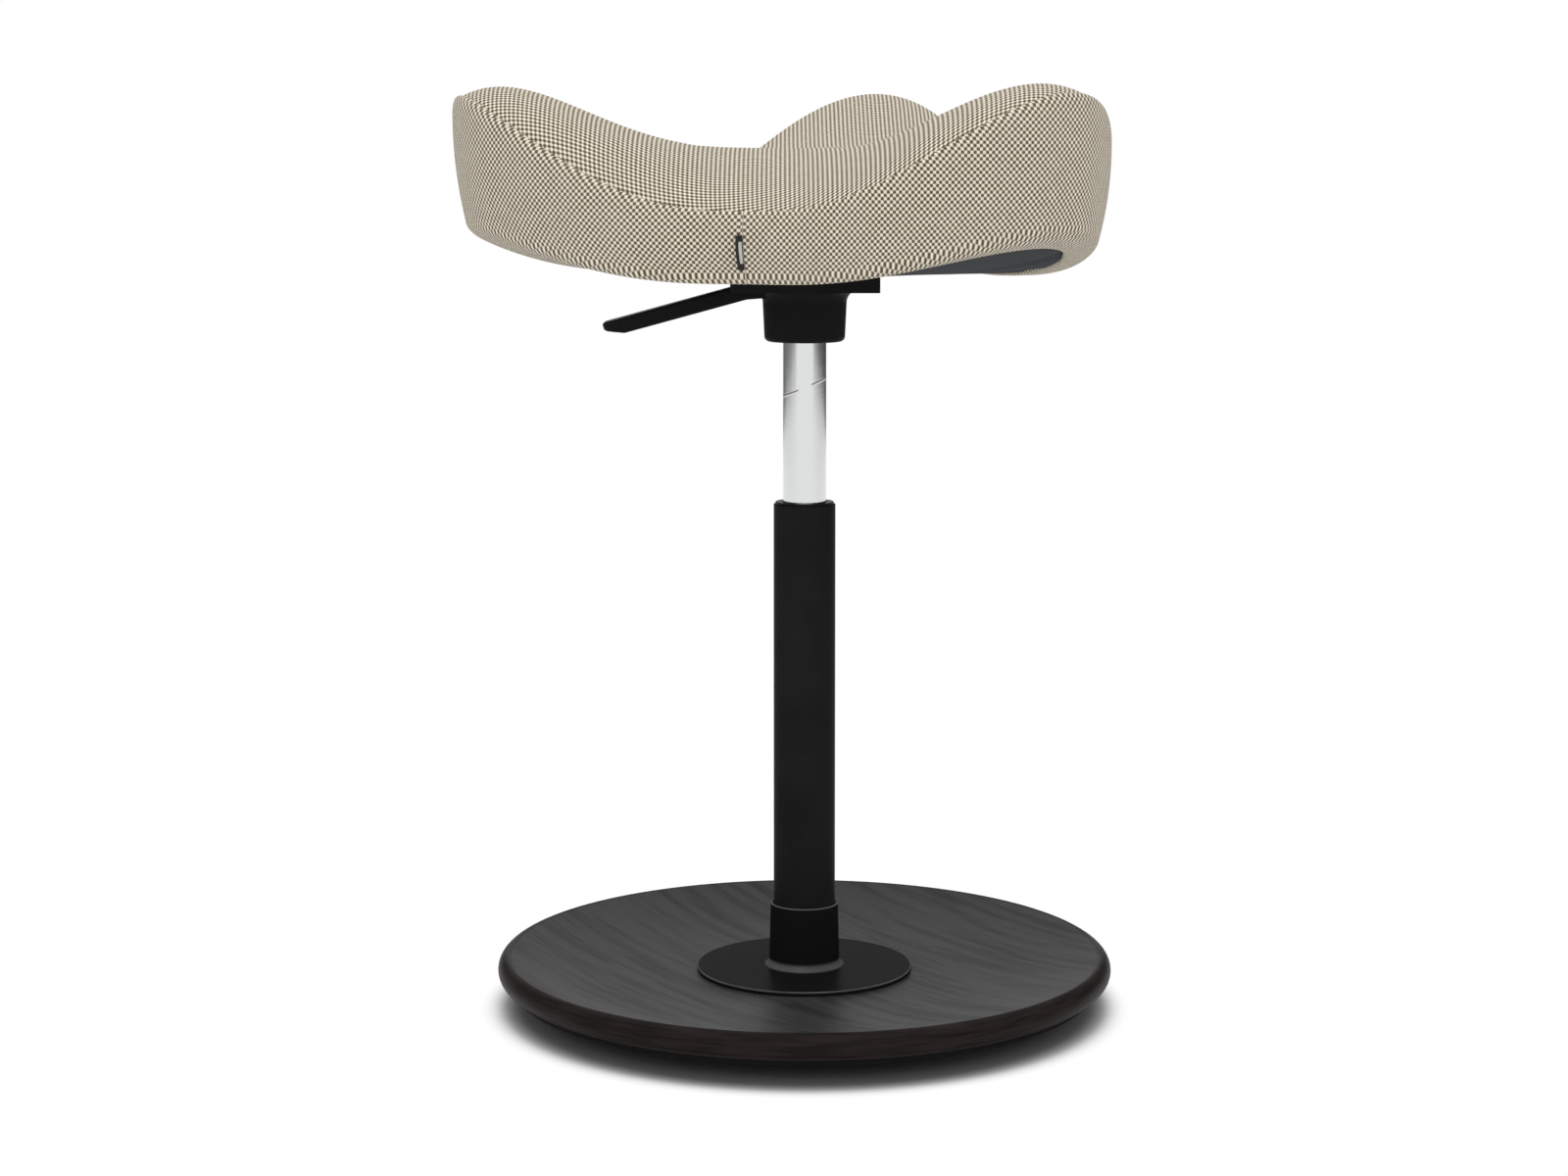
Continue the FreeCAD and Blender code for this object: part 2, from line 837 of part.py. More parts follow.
def shell_outline(turn):
    return edge_outline(turn) - shell_inset


def inner_inset():
    return cover_thickness + layer_gap


def tee_top():
    return under_z + inner_inset() + shell_thickness


def tee_places():
    return [bracket_place(x, y) for x, y in screw_places()]


def seat_shell():
    low = inner_inset()
    shell = sheet_solid(shell_outline, low, low + shell_thickness)
    flange_floor = tee_top() - tee_flange_thickness
    for x, y in tee_places():
        high = tee_top() + cut_margin
        shell = shell.cut(cylinder(tee_barrel_radius + loose_gap, under_z, high, x, y))
        shell = shell.cut(cylinder(tee_flange_radius + loose_gap, flange_floor, high, x, y))
    return shell


def tee_nuts():
    flange_floor = tee_top() - tee_flange_thickness
    low = under_z + inner_inset() + axial_gap
    bore = screw_radius + thread_gap
    nuts = []
    for x, y in tee_places():
        nut = cylinder(tee_barrel_radius, low, tee_top(), x, y)
        nut = nut.fuse(cylinder(tee_flange_radius, flange_floor, tee_top(), x, y))
        hole = cylinder(bore, low - cut_margin, tee_top() + cut_margin, x, y)
        nuts.append(nut.removeSplitter().cut(hole))
    return nuts


def seat_foam():
    """Foam over the shell, with a lip that comes down round the shell's edge."""
    inset = inner_inset()
    rim = drawn_in(shell_outline, -layer_gap)
    rings = under_rings(rim, inset + shell_thickness + layer_gap)
    rings.append((rim, above_underside(inset)))
    rings.append((drawn_in(edge_outline, inset + edge_corner), above_underside(inset)))
    return skin_loft(rings + wall_rings(inset) + top_rings(inset))


def hem_rings(inset):
    turned_edge = drawn_in(edge_outline, inset + edge_corner)
    return [(hem_outline, above_underside(inset)), (turned_edge, above_underside(inset))]


def seat_cover_side():
    """The side panel's skin, from its hem below round to the seam above."""
    outside = hem_rings(0.0) + wall_rings(0.0) + top_rings(0.0)[:1]
    inside = hem_rings(cover_thickness) + wall_rings(cover_thickness)
    inside += top_rings(cover_thickness)[:1]
    return skin_loft(outside + inside[::-1], True)


def seat_cover_top():
    """The top panel's skin, from its middle out to the seam."""
    return skin_loft(top_rings(0.0)[::-1] + top_rings(cover_thickness))


def underside_lining():
    lining = sheet_solid(drawn_in(hem_outline, hem_gap), 0.0, lining_thickness)
    hole = screw_radius + screw_hole_gap
    for x, y in tee_places():
        lining = lining.cut(cylinder(hole, under_z - cut_margin, under_z + cut_margin, x, y))
    return lining


def fabric_tag():
    """A folded tag sewn into the upright seam of the front dip."""
    front = math.pi
    low_z, high_z = [side_height(share, front) for share in tag_shares]
    low_r, high_r = [side_radius(share, front) for share in tag_shares]
    tag = Part.makeBox(tag_thickness, tag_reach, high_z - low_z,
                       vec(-tag_thickness / 2, -tag_reach, 0))
    outer = [e for e in tag.Edges if e.BoundBox.YMax < -tag_reach / 2
             and e.BoundBox.XLength > tag_thickness / 2]
    tag = tag.makeFillet(tag_corner, outer)
    tag.rotate(CENTRE, UP, -tag_turn)
    tag.rotate(CENTRE, vec(1, 0, 0), math.degrees(math.atan((high_r - low_r) / (high_z - low_z))))
    tag.translate(vec(0, -low_r - wall_bulge / 2 - 2 * layer_gap, low_z))
    return tag


def write(node, shape):
    """Write one node's solids to its own file."""
    if isinstance(shape, list):
        shape = Part.makeCompound(shape)
    if len(shape.Solids) == 1:
        shape = shape.Solids[0]
    print(node, len(shape.Solids), "solid", "valid" if shape.isValid() else "not valid",
          round(shape.Volume / 1000, 2), "cm3")
    shape.exportStep("parts/" + node + ".step")


def main():
    os.makedirs("parts", exist_ok=True)
    nodes = {
        "base_disc": base_disc(),
        "base_sole": base_sole(),
        "socket_flange": socket_flange(),
        "flange_studs": flange_studs(),
        "flange_washers": flange_washers(),
        "flange_nuts": flange_nuts(),
        "outer_tube": outer_tube(),
        "tube_end_plate": tube_end_plate(),
        "guide_bush": guide_bush(),
        "bearing_lower_race": bearing_lower_race(),
        "bearing_cage": bearing_cage(),
        "bearing_balls": bearing_balls(),
        "bearing_upper_race": bearing_upper_race(),
        "piston_rod": piston_rod(),
        "retaining_clip": retaining_clip(),
        "bump_stop": bump_stop(),
        "piston": piston(),
        "piston_seal": plug_seal(piston_bottom, piston_length),
        "piston_nut": piston_nut(),
        "gas_cylinder": gas_cylinder(),
        "cylinder_end_guide": cylinder_end_guide(),
        "rod_seal": rod_seal(),
        "valve_body": valve_body(),
        "valve_seal": plug_seal(valve_bottom, valve_length),
        "release_pin": release_pin(),
        "taper_socket": taper_socket(),
        "seat_bracket": seat_bracket(),
        "lever_pivot_pin": lever_pivot_pin(),
        "height_lever": height_lever(),
        "seat_screws": seat_screws(),
        "tee_nuts": tee_nuts(),
        "seat_shell": seat_shell(),
        "seat_foam": seat_foam(),
        "seat_cover_top": seat_cover_top(),
        "seat_cover_side": seat_cover_side(),
        "underside_lining": underside_lining(),
        "fabric_tag": fabric_tag(),
    }
    for node, shape in nodes.items():
        write(node, shape)


main()
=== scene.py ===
"""Wobble stool: looks built around the fixed frame.

A three-lobed saddle seat in a two-tone basket weave stands on a slim gas lift, whose black
outer tube sits in a flanged collar on a dished, dark stained plywood disc. The disc rolls on
a thin curved rubber sole. All lengths are metres, in the stool's own frame.
"""

import json
import logging
import math
from dataclasses import dataclass, field
from enum import Enum
from typing import Optional, Sequence, Union

import bpy
import numpy as np
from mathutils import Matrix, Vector

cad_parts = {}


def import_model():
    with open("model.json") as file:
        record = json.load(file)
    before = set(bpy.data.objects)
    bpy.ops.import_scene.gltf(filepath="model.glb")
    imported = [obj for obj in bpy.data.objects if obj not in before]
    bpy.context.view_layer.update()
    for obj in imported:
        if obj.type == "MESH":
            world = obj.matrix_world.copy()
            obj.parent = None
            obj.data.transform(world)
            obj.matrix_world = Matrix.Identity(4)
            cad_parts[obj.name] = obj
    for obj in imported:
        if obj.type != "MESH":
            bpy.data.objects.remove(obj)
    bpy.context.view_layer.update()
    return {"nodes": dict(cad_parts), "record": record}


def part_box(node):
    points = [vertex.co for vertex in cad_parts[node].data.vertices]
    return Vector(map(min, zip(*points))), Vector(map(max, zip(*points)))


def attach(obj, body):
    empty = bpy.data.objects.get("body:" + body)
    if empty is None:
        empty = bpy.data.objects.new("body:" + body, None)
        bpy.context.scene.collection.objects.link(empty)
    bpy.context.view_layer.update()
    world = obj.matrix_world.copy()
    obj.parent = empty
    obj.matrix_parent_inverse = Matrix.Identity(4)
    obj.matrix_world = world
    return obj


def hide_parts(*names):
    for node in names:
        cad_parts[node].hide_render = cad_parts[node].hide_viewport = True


MM = 0.001
LOG = logging.getLogger("wobble_stool")
Rgb = tuple[float, float, float]


class Body(Enum):
    """The bodies that pieces ride on."""

    BASE = "base"
    SEAT = "seat"
    LEVER = "lever"


# Shader maths


class Wire:
    """A shader socket that takes part in Python expressions."""

    def __init__(self, graph: "Graph", socket: bpy.types.NodeSocket) -> None:
        """Wrap an output socket.

        Args:
            graph: the graph that the socket is in.
            socket: the output.
        """
        self.graph = graph
        self.socket = socket

    def _math(self, operation: str, *values: "Value") -> "Wire":
        """Add one Math node.

        Args:
            operation: the Math node's operation.
            values: its inputs in order.

        Returns:
            The node's value.
        """
        inputs = dict(enumerate(values))
        return self.graph.node("ShaderNodeMath", {"operation": operation}, inputs)

    def __add__(self, other: "Value") -> "Wire":
        """Sum."""
        return self._math("ADD", self, other)

    def __radd__(self, other: "Value") -> "Wire":
        """Sum with the number first."""
        return self._math("ADD", other, self)

    def __sub__(self, other: "Value") -> "Wire":
        """Difference."""
        return self._math("SUBTRACT", self, other)

    def __rsub__(self, other: "Value") -> "Wire":
        """Difference with the number first."""
        return self._math("SUBTRACT", other, self)

    def __mul__(self, other: "Value") -> "Wire":
        """Product."""
        return self._math("MULTIPLY", self, other)

    def __rmul__(self, other: "Value") -> "Wire":
        """Product with the number first."""
        return self._math("MULTIPLY", other, self)

    def __truediv__(self, other: "Value") -> "Wire":
        """Quotient."""
        return self._math("DIVIDE", self, other)

    def cosine(self) -> "Wire":
        """Cosine of the value in radians."""
        return self._math("COSINE", self)

    def size(self) -> "Wire":
        """The value without its sign."""
        return self._math("ABSOLUTE", self)

    def ramp(self, low: float, high: float) -> "Wire":
        """A smooth step from 0 at low to 1 at high.

        Args:
            low: value at which the step starts.
            high: value at which it ends.

        Returns:
            The step's height.
        """
        settings = {"interpolation_type": "SMOOTHSTEP"}
        inputs = {"Value": self, "From Min": low, "From Max": high}
        return self.graph.node("ShaderNodeMapRange", settings, inputs, "Result")


Value = Union[Wire, float, int, Sequence[float]]


class Graph:
    """A material's nodes, with its Principled shader at hand."""

    def __init__(self, name: str) -> None:
        """Start an empty material.

        Args:
            name: the material's name.
        """
        self.material = bpy.data.materials.new(name)
        self.material.use_nodes = True
        self.tree = self.material.node_tree
        self.tree.nodes.clear()
        self.shader = self.tree.nodes.new("ShaderNodeBsdfPrincipled")
        output = self.tree.nodes.new("ShaderNodeOutputMaterial")
        self.tree.links.new(self.shader.outputs["BSDF"], output.inputs["Surface"])

    def node(
        self,
        kind: str,
        settings: dict[str, object],
        inputs: dict[Union[str, int], Value],
        output: Union[str, int] = 0,
    ) -> Wire:
        """Add any node.

        Args:
            kind: the node's type.
            settings: attributes set before the sockets.
            inputs: values or wires by socket name or number.
            output: which output to hand back.

        Returns:
            The chosen output.
        """
        made = self.tree.nodes.new(kind)
        for key, value in settings.items():
            setattr(made, key, value)
        for key, value in inputs.items():
            if isinstance(value, Wire):
                self.tree.links.new(value.socket, made.inputs[key])
            else:
                made.inputs[key].default_value = value
        return Wire(self, made.outputs[output])

    def place(self, turn: float = 0.0, stretch: Sequence[float] = (1.0, 1.0, 1.0)) -> Wire:
        """Object coordinates, turned about Z and stretched.

        Args:
            turn: angle in radians by which the pattern is turned.
            stretch: scale along the turned axes.

        Returns:
            The mapped coordinates.
        """
        here = self.node("ShaderNodeTexCoord", {}, {}, "Object")
        scale = tuple(1.0 / s for s in stretch)
        inputs = {"Vector": here, "Rotation": (0.0, 0.0, turn), "Scale": scale}
        return self.node("ShaderNodeMapping", {"vector_type": "TEXTURE"}, inputs)

    def axes(self, vector: Wire) -> tuple[Wire, Wire, Wire]:
        """Split a vector into its three parts.

        Args:
            vector: the vector.

        Returns:
            Its X, Y and Z.
        """
        parts = [self.node("ShaderNodeSeparateXYZ", {}, {0: vector}, axis) for axis in "XYZ"]
        return parts[0], parts[1], parts[2]

    def radius(self, x: Value, y: Value) -> Wire:
        """Distance from the upright axis.

        Args:
            x: first level coordinate.
            y: second level coordinate.

        Returns:
            The distance.
        """
        flat = self.node("ShaderNodeCombineXYZ", {}, {0: x, 1: y})
        return self.node("ShaderNodeVectorMath", {"operation": "LENGTH"}, {0: flat}, "Value")

    def noise(self, vector: Wire, scale: float, detail: float = 2.0, warp: float = 0.0) -> Wire:
        """Fractal noise from 0 to 1.

        Args:
            vector: where it is read.
            scale: waves per metre.
            detail: octaves.
            warp: distortion.

        Returns:
            The noise.
        """
        inputs = {"Vector": vector, "Scale": scale, "Detail": detail, "Distortion": warp}
        return self.node("ShaderNodeTexNoise", {}, inputs, "Fac")

    def mix(self, share: Value, first: Union[Wire, Rgb], second: Union[Wire, Rgb]) -> Wire:
        """Blend two colours.

        Args:
            share: how much of the second colour shows.
            first: colour at 0.
            second: colour at 1.

        Returns:
            The blended colour.
        """
        colours = [c if isinstance(c, Wire) else (*c, 1.0) for c in (first, second)]
        inputs = {0: share, 6: colours[0], 7: colours[1]}
        return self.node("ShaderNodeMix", {"data_type": "RGBA"}, inputs, 2)

    def set(self, **sockets: Value) -> None:
        """Set or link the shader's sockets, named with underscores for spaces."""
        for key, value in sockets.items():
            socket = self.shader.inputs[key.replace("_", " ")]
            if isinstance(value, Wire):
                self.tree.links.new(value.socket, socket)
            else:
                socket.default_value = value

    def bump(self, height: Wire, distance: float, strength: float = 1.0) -> None:
        """Raise the surface by a height from 0 to 1.

        Args:
            height: the relief.
            distance: metres at height 1.
            strength: share of the effect.
        """
        inputs = {"Height": height, "Distance": distance, "Strength": strength}
        normal = self.node("ShaderNodeBump", {}, inputs, "Normal")
        self.tree.links.new(normal.socket, self.shader.inputs["Normal"])


# Finishes


@dataclass(frozen=True)
class Weave:
    """Basket weave of cream and dark yarns, read from the piece's own weave map."""

    name: str = "seat_weave"
    cream: Rgb = (0.850, 0.770, 0.650)
    dark: Rgb = (0.108, 0.084, 0.042)
    haze: Rgb = (0.47, 0.43, 0.35)
    softness: float = 0.75
    fibre_scale: float = 2600.0
    slub_scale: float = 190.0
    cloud_scale: float = 14.0
    relief: float = 0.35 * MM
    roughness: float = 0.92

    def material(self) -> bpy.types.Material:
        """Yarns cross where the sum of two cosines changes sign.

        Returns:
            The weave's material.
        """
        graph = Graph(self.name)
        flat = graph.node("ShaderNodeUVMap", {"uv_map": Cloth.MAP}, {})
        across, along, _ = graph.axes(flat)
        wave = (across * math.tau).cosine() + (along * math.tau).cosine()
        here = graph.place()
        fibre = graph.noise(here, self.fibre_scale, 3.0)
        slub = graph.noise(here, self.slub_scale, 2.0)
        cloud = graph.noise(here, self.cloud_scale, 1.0)
        side = (wave + (slub - 0.5) * 0.5 + 0.04).ramp(-self.softness, self.softness)
        tone = graph.mix(side, self.dark, self.cream)
        shade = 0.84 + 0.20 * wave.size().ramp(0.0, 1.2) + (fibre - 0.5) * 0.28
        tone = graph.mix((cloud - 0.5) * 0.2 + 0.04, tone, self.haze)
        grey = graph.node("ShaderNodeCombineXYZ", {}, {0: shade, 1: shade, 2: shade})
        tone = graph.node("ShaderNodeVectorMath", {"operation": "MULTIPLY"}, {0: tone, 1: grey})
        graph.set(Base_Color=tone, Roughness=self.roughness)
        graph.set(Sheen_Weight=0.04, Sheen_Roughness=0.5, Specular_IOR_Level=0.15)
        graph.bump(wave.size() * 0.5 + fibre * 0.35, self.relief, 0.8)
        return graph.material


@dataclass(frozen=True)
class Grain:
    """Stained oak veneer with long pores, and a browner rounded edge with ply lines and a
    painted highlight along its upper arris.
    """

    name: str
    turn: float
    edge_radius: float
    face: Rgb = (0.042, 0.042, 0.042)
    face_dark: Rgb = (0.017, 0.017, 0.017)
    edge: Rgb = (0.022, 0.017, 0.016)
    edge_dark: Rgb = (0.008, 0.006, 0.006)
    # Painted highlight: its colour, and the height and reach of the band along the edge's upper
    # arris where it is mixed in.
    painted_highlight: Rgb = (0.052, 0.045, 0.043)
    arris: float = 16.6 * MM
    arris_reach: tuple[float, float] = (0.4 * MM, 2.6 * MM)
    rim_blend: tuple[float, float] = (-0.3 * MM, 0.9 * MM)
    line_stretch: float = 15.0
    pore_stretch: float = 34.0
    roughness: float = 0.36
    gloss: float = 0.036
    ply: float = 1.4 * MM
    relief: float = 0.09 * MM

    def material(self) -> bpy.types.Material:
        """Noise stretched along the grain, ply lines by height at the edge, and a painted
        highlight band along the upper arris.

        Returns:
            The wood's material.
        """
        graph = Graph(self.name)
        here = graph.place()
        x, y, z = graph.axes(here)
        along = graph.place(self.turn, (1.0, self.line_stretch, 1.0))
        broad = graph.noise(along, 2.4, 3.0, 0.15)
        line = graph.noise(along, 9.0, 5.0, 0.1)
        pore = graph.noise(graph.place(self.turn, (1.0, self.pore_stretch, 1.0)), 34.0, 4.0)
        streak = line.ramp(0.44, 0.64) * 0.6 + pore.ramp(0.5, 0.66) * 0.35
        tone = graph.mix(streak + (broad - 0.5) * 1.1, self.face, self.face_dark)
        ply_wave = (z * (math.tau / self.ply)).cosine() * 0.5 + 0.5
        ring = graph.noise(graph.place(0.0, (1.0, 1.0, 16.0)), 30.0, 3.0)
        bands = ring.ramp(0.35, 0.7) * 0.7 + ply_wave * 0.2
        rim_tone = graph.mix(bands, self.edge, self.edge_dark)
        low, high = self.rim_blend
        rim = graph.radius(x, y).ramp(self.edge_radius + low, self.edge_radius + high)
        # Painted highlight: a band at the arris's height is mixed towards a lighter colour.
        arris = 1.0 - (z - self.arris).size().ramp(*self.arris_reach)
        rim_tone = graph.mix(arris * (0.25 + ring * 0.5), rim_tone, self.painted_highlight)
        relief = pore.ramp(0.3, 0.62) * (1.0 - rim) + ring * rim * 0.5
        graph.set(Base_Color=graph.mix(rim, tone, rim_tone))
        graph.set(Roughness=self.roughness + 0.10 * line, Specular_IOR_Level=self.gloss)
        graph.bump(relief, self.relief, 0.7)
        return graph.material


@dataclass(frozen=True)
class Coat:
    """Paint, plastic, rubber or bare metal with a fine skin and small marks of use."""

    name: str
    colour: Rgb
    roughness: float
    metallic: float = 0.0
    specular: float = 0.5
    skin: float = 0.02 * MM
    skin_scale: float = 900.0
    spread: float = 0.05
    mottle: float = 0.12
    cloud_scale: float = 22.0

    def material(self) -> bpy.types.Material:
        """A fine skin, with roughness and tone that drift a little.

        Returns:
            The coat's material.
        """
        graph = Graph(self.name)
        here = graph.place()
        fine = graph.noise(here, self.skin_scale, 2.0)
        cloud = graph.noise(here, self.cloud_scale, 3.0)
        # A lighter tone of the colour, mixed in by the cloud noise as random mottle.
        mottle_and_highlight = tuple(min(1.0, c * (1.0 + 2.0 * self.mottle)) for c in self.colour)
        tone = graph.mix(cloud.ramp(0.3, 0.8), self.colour, mottle_and_highlight)
        graph.set(Base_Color=tone, Metallic=self.metallic, Specular_IOR_Level=self.specular)
        graph.set(Roughness=self.roughness + (cloud - 0.5) * self.spread)
        graph.bump(fine, self.skin, 0.6)
        return graph.material


@dataclass(frozen=True)
class CollarPaint(Coat):
    """Black paint with painted highlights: lighter bands on the flange's rim, the fillet and the
    lip.
    """

    cloud_scale: float = 60.0
    # Painted highlight: the lighter colour of the bands on the flange's rim, the fillet and the
    # collar's lip.
    mottle_and_highlight: Rgb = (0.115, 0.115, 0.115)
    bands: tuple[tuple[float, float, float, float], ...] = (
        (25.6 * MM, 3.4 * MM, 24.0 * MM, 2.6 * MM),
        (64.8 * MM, 0.8 * MM, 21.8 * MM, 1.0 * MM),
        (23.0 * MM, 0.9 * MM, 69.7 * MM, 0.5 * MM),
    )

    def material(self) -> bpy.types.Material:
        """Each band is the product of two soft steps, by height and by radius.

        Returns:
            The paint's material.
        """
        graph = Graph(self.name)
        here = graph.place()
        x, y, z = graph.axes(here)
        radius = graph.radius(x, y)
        fine = graph.noise(here, self.skin_scale, 2.0)
        cloud = graph.noise(here, self.cloud_scale, 3.0)
        # Painted highlight mask: the bands are summed, then made patchy by the cloud noise.
        mottle_and_highlight = None
        for height, tall, reach, wide in self.bands:
            band = 1.0 - (z - height).size().ramp(0.25 * tall, tall)
            band = band * (1.0 - (radius - reach).size().ramp(0.3 * wide, wide))
            mottle_and_highlight = band if mottle_and_highlight is None else mottle_and_highlight + band
        share = mottle_and_highlight * (0.45 + 0.8 * cloud)
        graph.set(Base_Color=graph.mix(share, self.colour, self.mottle_and_highlight), Metallic=self.metallic)
        graph.set(Specular_IOR_Level=self.specular)
        graph.set(Roughness=self.roughness + (cloud - 0.5) * self.spread)
        graph.bump(fine, self.skin, 0.6)
        return graph.material


@dataclass(frozen=True)
class Chrome:
    """Bright ground steel with fine lines round it and two slanted score marks, each with a
    painted highlight line under it.
    """

    name: str = "ground_chrome"
    colour: Rgb = (0.74, 0.75, 0.75)
    roughness: float = 0.11
    score_height: float = 403.3 * MM
    score_slope: float = 0.42
    score_width: float = 0.8 * MM
    score_ends: tuple[float, float] = (3.6 * MM, 4.8 * MM)
    score_dark: Rgb = (0.10, 0.10, 0.10)
    # Colour of the painted highlight line under the score.
    score_highlight: Rgb = (0.95, 0.95, 0.95)
    ring_stretch: float = 2200.0
    relief: float = 0.03 * MM

    def material(self) -> bpy.types.Material:
        """Rings by height, and a slanted dark line over a painted highlight line, which show
        only at their ends.

        Returns:
            The chrome's material.
        """
        graph = Graph(self.name)
        here = graph.place()
        rings = graph.noise(graph.place(0.0, (20.0, 20.0, self.ring_stretch)), 1.0, 2.0)
        cloud = graph.noise(here, 30.0, 2.0)
        side, depth, height = graph.axes(graph.place(math.radians(View.TURN)))
        climb = height - self.score_height - side * self.score_slope
        line = 1.0 - climb.size().ramp(self.score_width * 0.4, self.score_width)
        ends = side.size().ramp(*self.score_ends) * (0.0 - depth).ramp(0.0, 1.0 * MM)
        # Painted highlight: a line just under the score is made lighter and less metallic, and
        # shows only at the ends on the camera's side.
        below = climb + self.score_width * 1.1
        painted_highlight = 1.0 - below.size().ramp(self.score_width * 0.4, self.score_width)
        score = line * ends
        tone = graph.mix(score * 0.85, self.colour, self.score_dark)
        tone = graph.mix(painted_highlight * ends * 0.8, tone, self.score_highlight)
        graph.set(Base_Color=tone, Metallic=1.0 - painted_highlight * ends * 0.85)
        graph.set(Roughness=self.roughness + rings * 0.04 + (cloud - 0.5) * 0.04)
        graph.bump(rings * 0.3 - score, self.relief, 0.5)
        return graph.material


@dataclass(frozen=True)
class Felt:
    """Plain cloth, foam or raw ply whose tone and relief come from two noises."""

    name: str
    colour: Rgb
    second: Rgb
    scale: float = 700.0
    relief: float = 0.12 * MM
    roughness: float = 0.95
    stretch: tuple[float, float, float] = (1.0, 1.0, 1.0)

    def material(self) -> bpy.types.Material:
        """Fibres at one scale over clouds at another.

        Returns:
            The cloth's material.
        """
        graph = Graph(self.name)
        here = graph.place(0.0, self.stretch)
        fibre = graph.noise(here, self.scale, 4.0, 0.4)
        cloud = graph.noise(here, self.scale * 0.03, 2.0)
        tone = graph.mix(fibre.ramp(0.3, 0.7) * 0.6 + cloud * 0.4, self.colour, self.second)
        graph.set(Base_Color=tone, Roughness=self.roughness, Specular_IOR_Level=0.2)
        graph.bump(fibre, self.relief, 0.8)
        return graph.material


# Mesh helpers


@dataclass
class Skin:
    """A grid of points that becomes a mesh, with an optional flat map for its cloth."""

    points: np.ndarray
    wrap: bool = False
    flat: Optional[np.ndarray] = None
    caps: tuple[bool, bool] = (False, False)
    loop: bool = False

    def faces(self) -> list[tuple[int, ...]]:
        """Quads of the grid, row by row, and one face on each capped end.

        Returns:
            The faces as corner numbers.
        """
        rows, columns = self.points.shape[:2]
        index = np.arange(rows * columns).reshape(rows, columns)
        if self.loop:
            index = np.concatenate([index, index[:1]])
        after = np.roll(index, -1, axis=1) if self.wrap else index[:, 1:]
        here = index if self.wrap else index[:, :-1]
        quads = np.stack([here[:-1], after[:-1], after[1:], here[1:]], axis=-1).reshape(-1, 4)
        made = [tuple(q) for q in quads.tolist()]
        if self.caps[0]:
            made.append(tuple(index[0][::-1].tolist()))
        if self.caps[1]:
            made.append(tuple(index[-1].tolist()))
        return made


def face_out(mesh: bpy.types.Mesh) -> None:
    """Turn a mesh's faces outwards, away from the origin where it is open.

    The volume under the faces is a third of the sum of area times the distance of each
    face's plane from the origin. Where it comes out below zero, every face is turned round.

    Args:
        mesh: the mesh to turn.
    """
    count = len(mesh.polygons)
    area, centre, normal = np.empty(count), np.empty(count * 3), np.empty(count * 3)
    mesh.polygons.foreach_get("area", area)
    mesh.polygons.foreach_get("center", centre)
    mesh.polygons.foreach_get("normal", normal)
    if (area * (centre * normal).reshape(-1, 3).sum(1)).sum() < 0.0:
        mesh.flip_normals()


def mesh_piece(
    name: str,
    points: np.ndarray,
    faces: Sequence[Sequence[int]],
    flat: Optional[np.ndarray] = None,
) -> bpy.types.Object:
    """Make a smooth mesh object at the origin, its faces turned outwards.

    Args:
        name: the piece's name.
        points: corners, three numbers each.
        faces: corner numbers of each face.
        flat: the cloth's flat place of each face corner, if it has a weave.

    Returns:
        The new object.
    """
    mesh = bpy.data.meshes.new(name)
    mesh.from_pydata(points.reshape(-1, 3).tolist(), [], [tuple(f) for f in faces])
    mesh.polygons.foreach_set("use_smooth", np.ones(len(mesh.polygons), bool))
    if flat is not None:
        layer = mesh.uv_layers.new(name=Cloth.MAP)
        layer.data.foreach_set("uv", flat.astype(np.float32).ravel())
    face_out(mesh)
    mesh.update()
    made = bpy.data.objects.new(name, mesh)
    bpy.context.scene.collection.objects.link(made)
    return made


def skin_piece(name: str, skin: Skin) -> bpy.types.Object:
    """Make a piece of one skin.

    Args:
        name: the piece's name.
        skin: its grid of points.

    Returns:
        The piece.
    """
    return mesh_piece(name, skin.points, skin.faces(), skin.flat)


def dress(
    piece: bpy.types.Object,
    material: bpy.types.Material,
    body: Body,
    nodes: Sequence[str] = (),
) -> bpy.types.Object:
    """Give a piece its finish, body and the nodes it stands for.

    Args:
        piece: the piece.
        material: its finish.
        body: what it moves with.
        nodes: nodes that it replaces.

    Returns:
        The piece.
    """
    piece.data.materials.clear()
    piece.data.materials.append(material)
    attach(piece, body.value)
    if nodes:
        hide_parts(*nodes)
    LOG.info("%s: %d faces on %s", piece.name, len(piece.data.polygons), body.value)
    return piece


def thicken(piece: bpy.types.Object, thickness: float, offset: float) -> None:
    """Close an open sheet with a Solidify.

    Args:
        piece: the sheet.
        thickness: how thick it becomes.
        offset: -1 grows it inwards, 1 outwards.
    """
    modifier = piece.modifiers.new("sheet", "SOLIDIFY")
    modifier.thickness = thickness
    modifier.offset = offset


def smoother(piece: bpy.types.Object, levels: int) -> None:
    """Add a Subdivision Surface of equal levels in view and render.

    Args:
        piece: the piece.
        levels: how many times its faces are split.
    """
    modifier = piece.modifiers.new("smooth", "SUBSURF")
    modifier.levels = levels
    modifier.render_levels = levels


# Seat


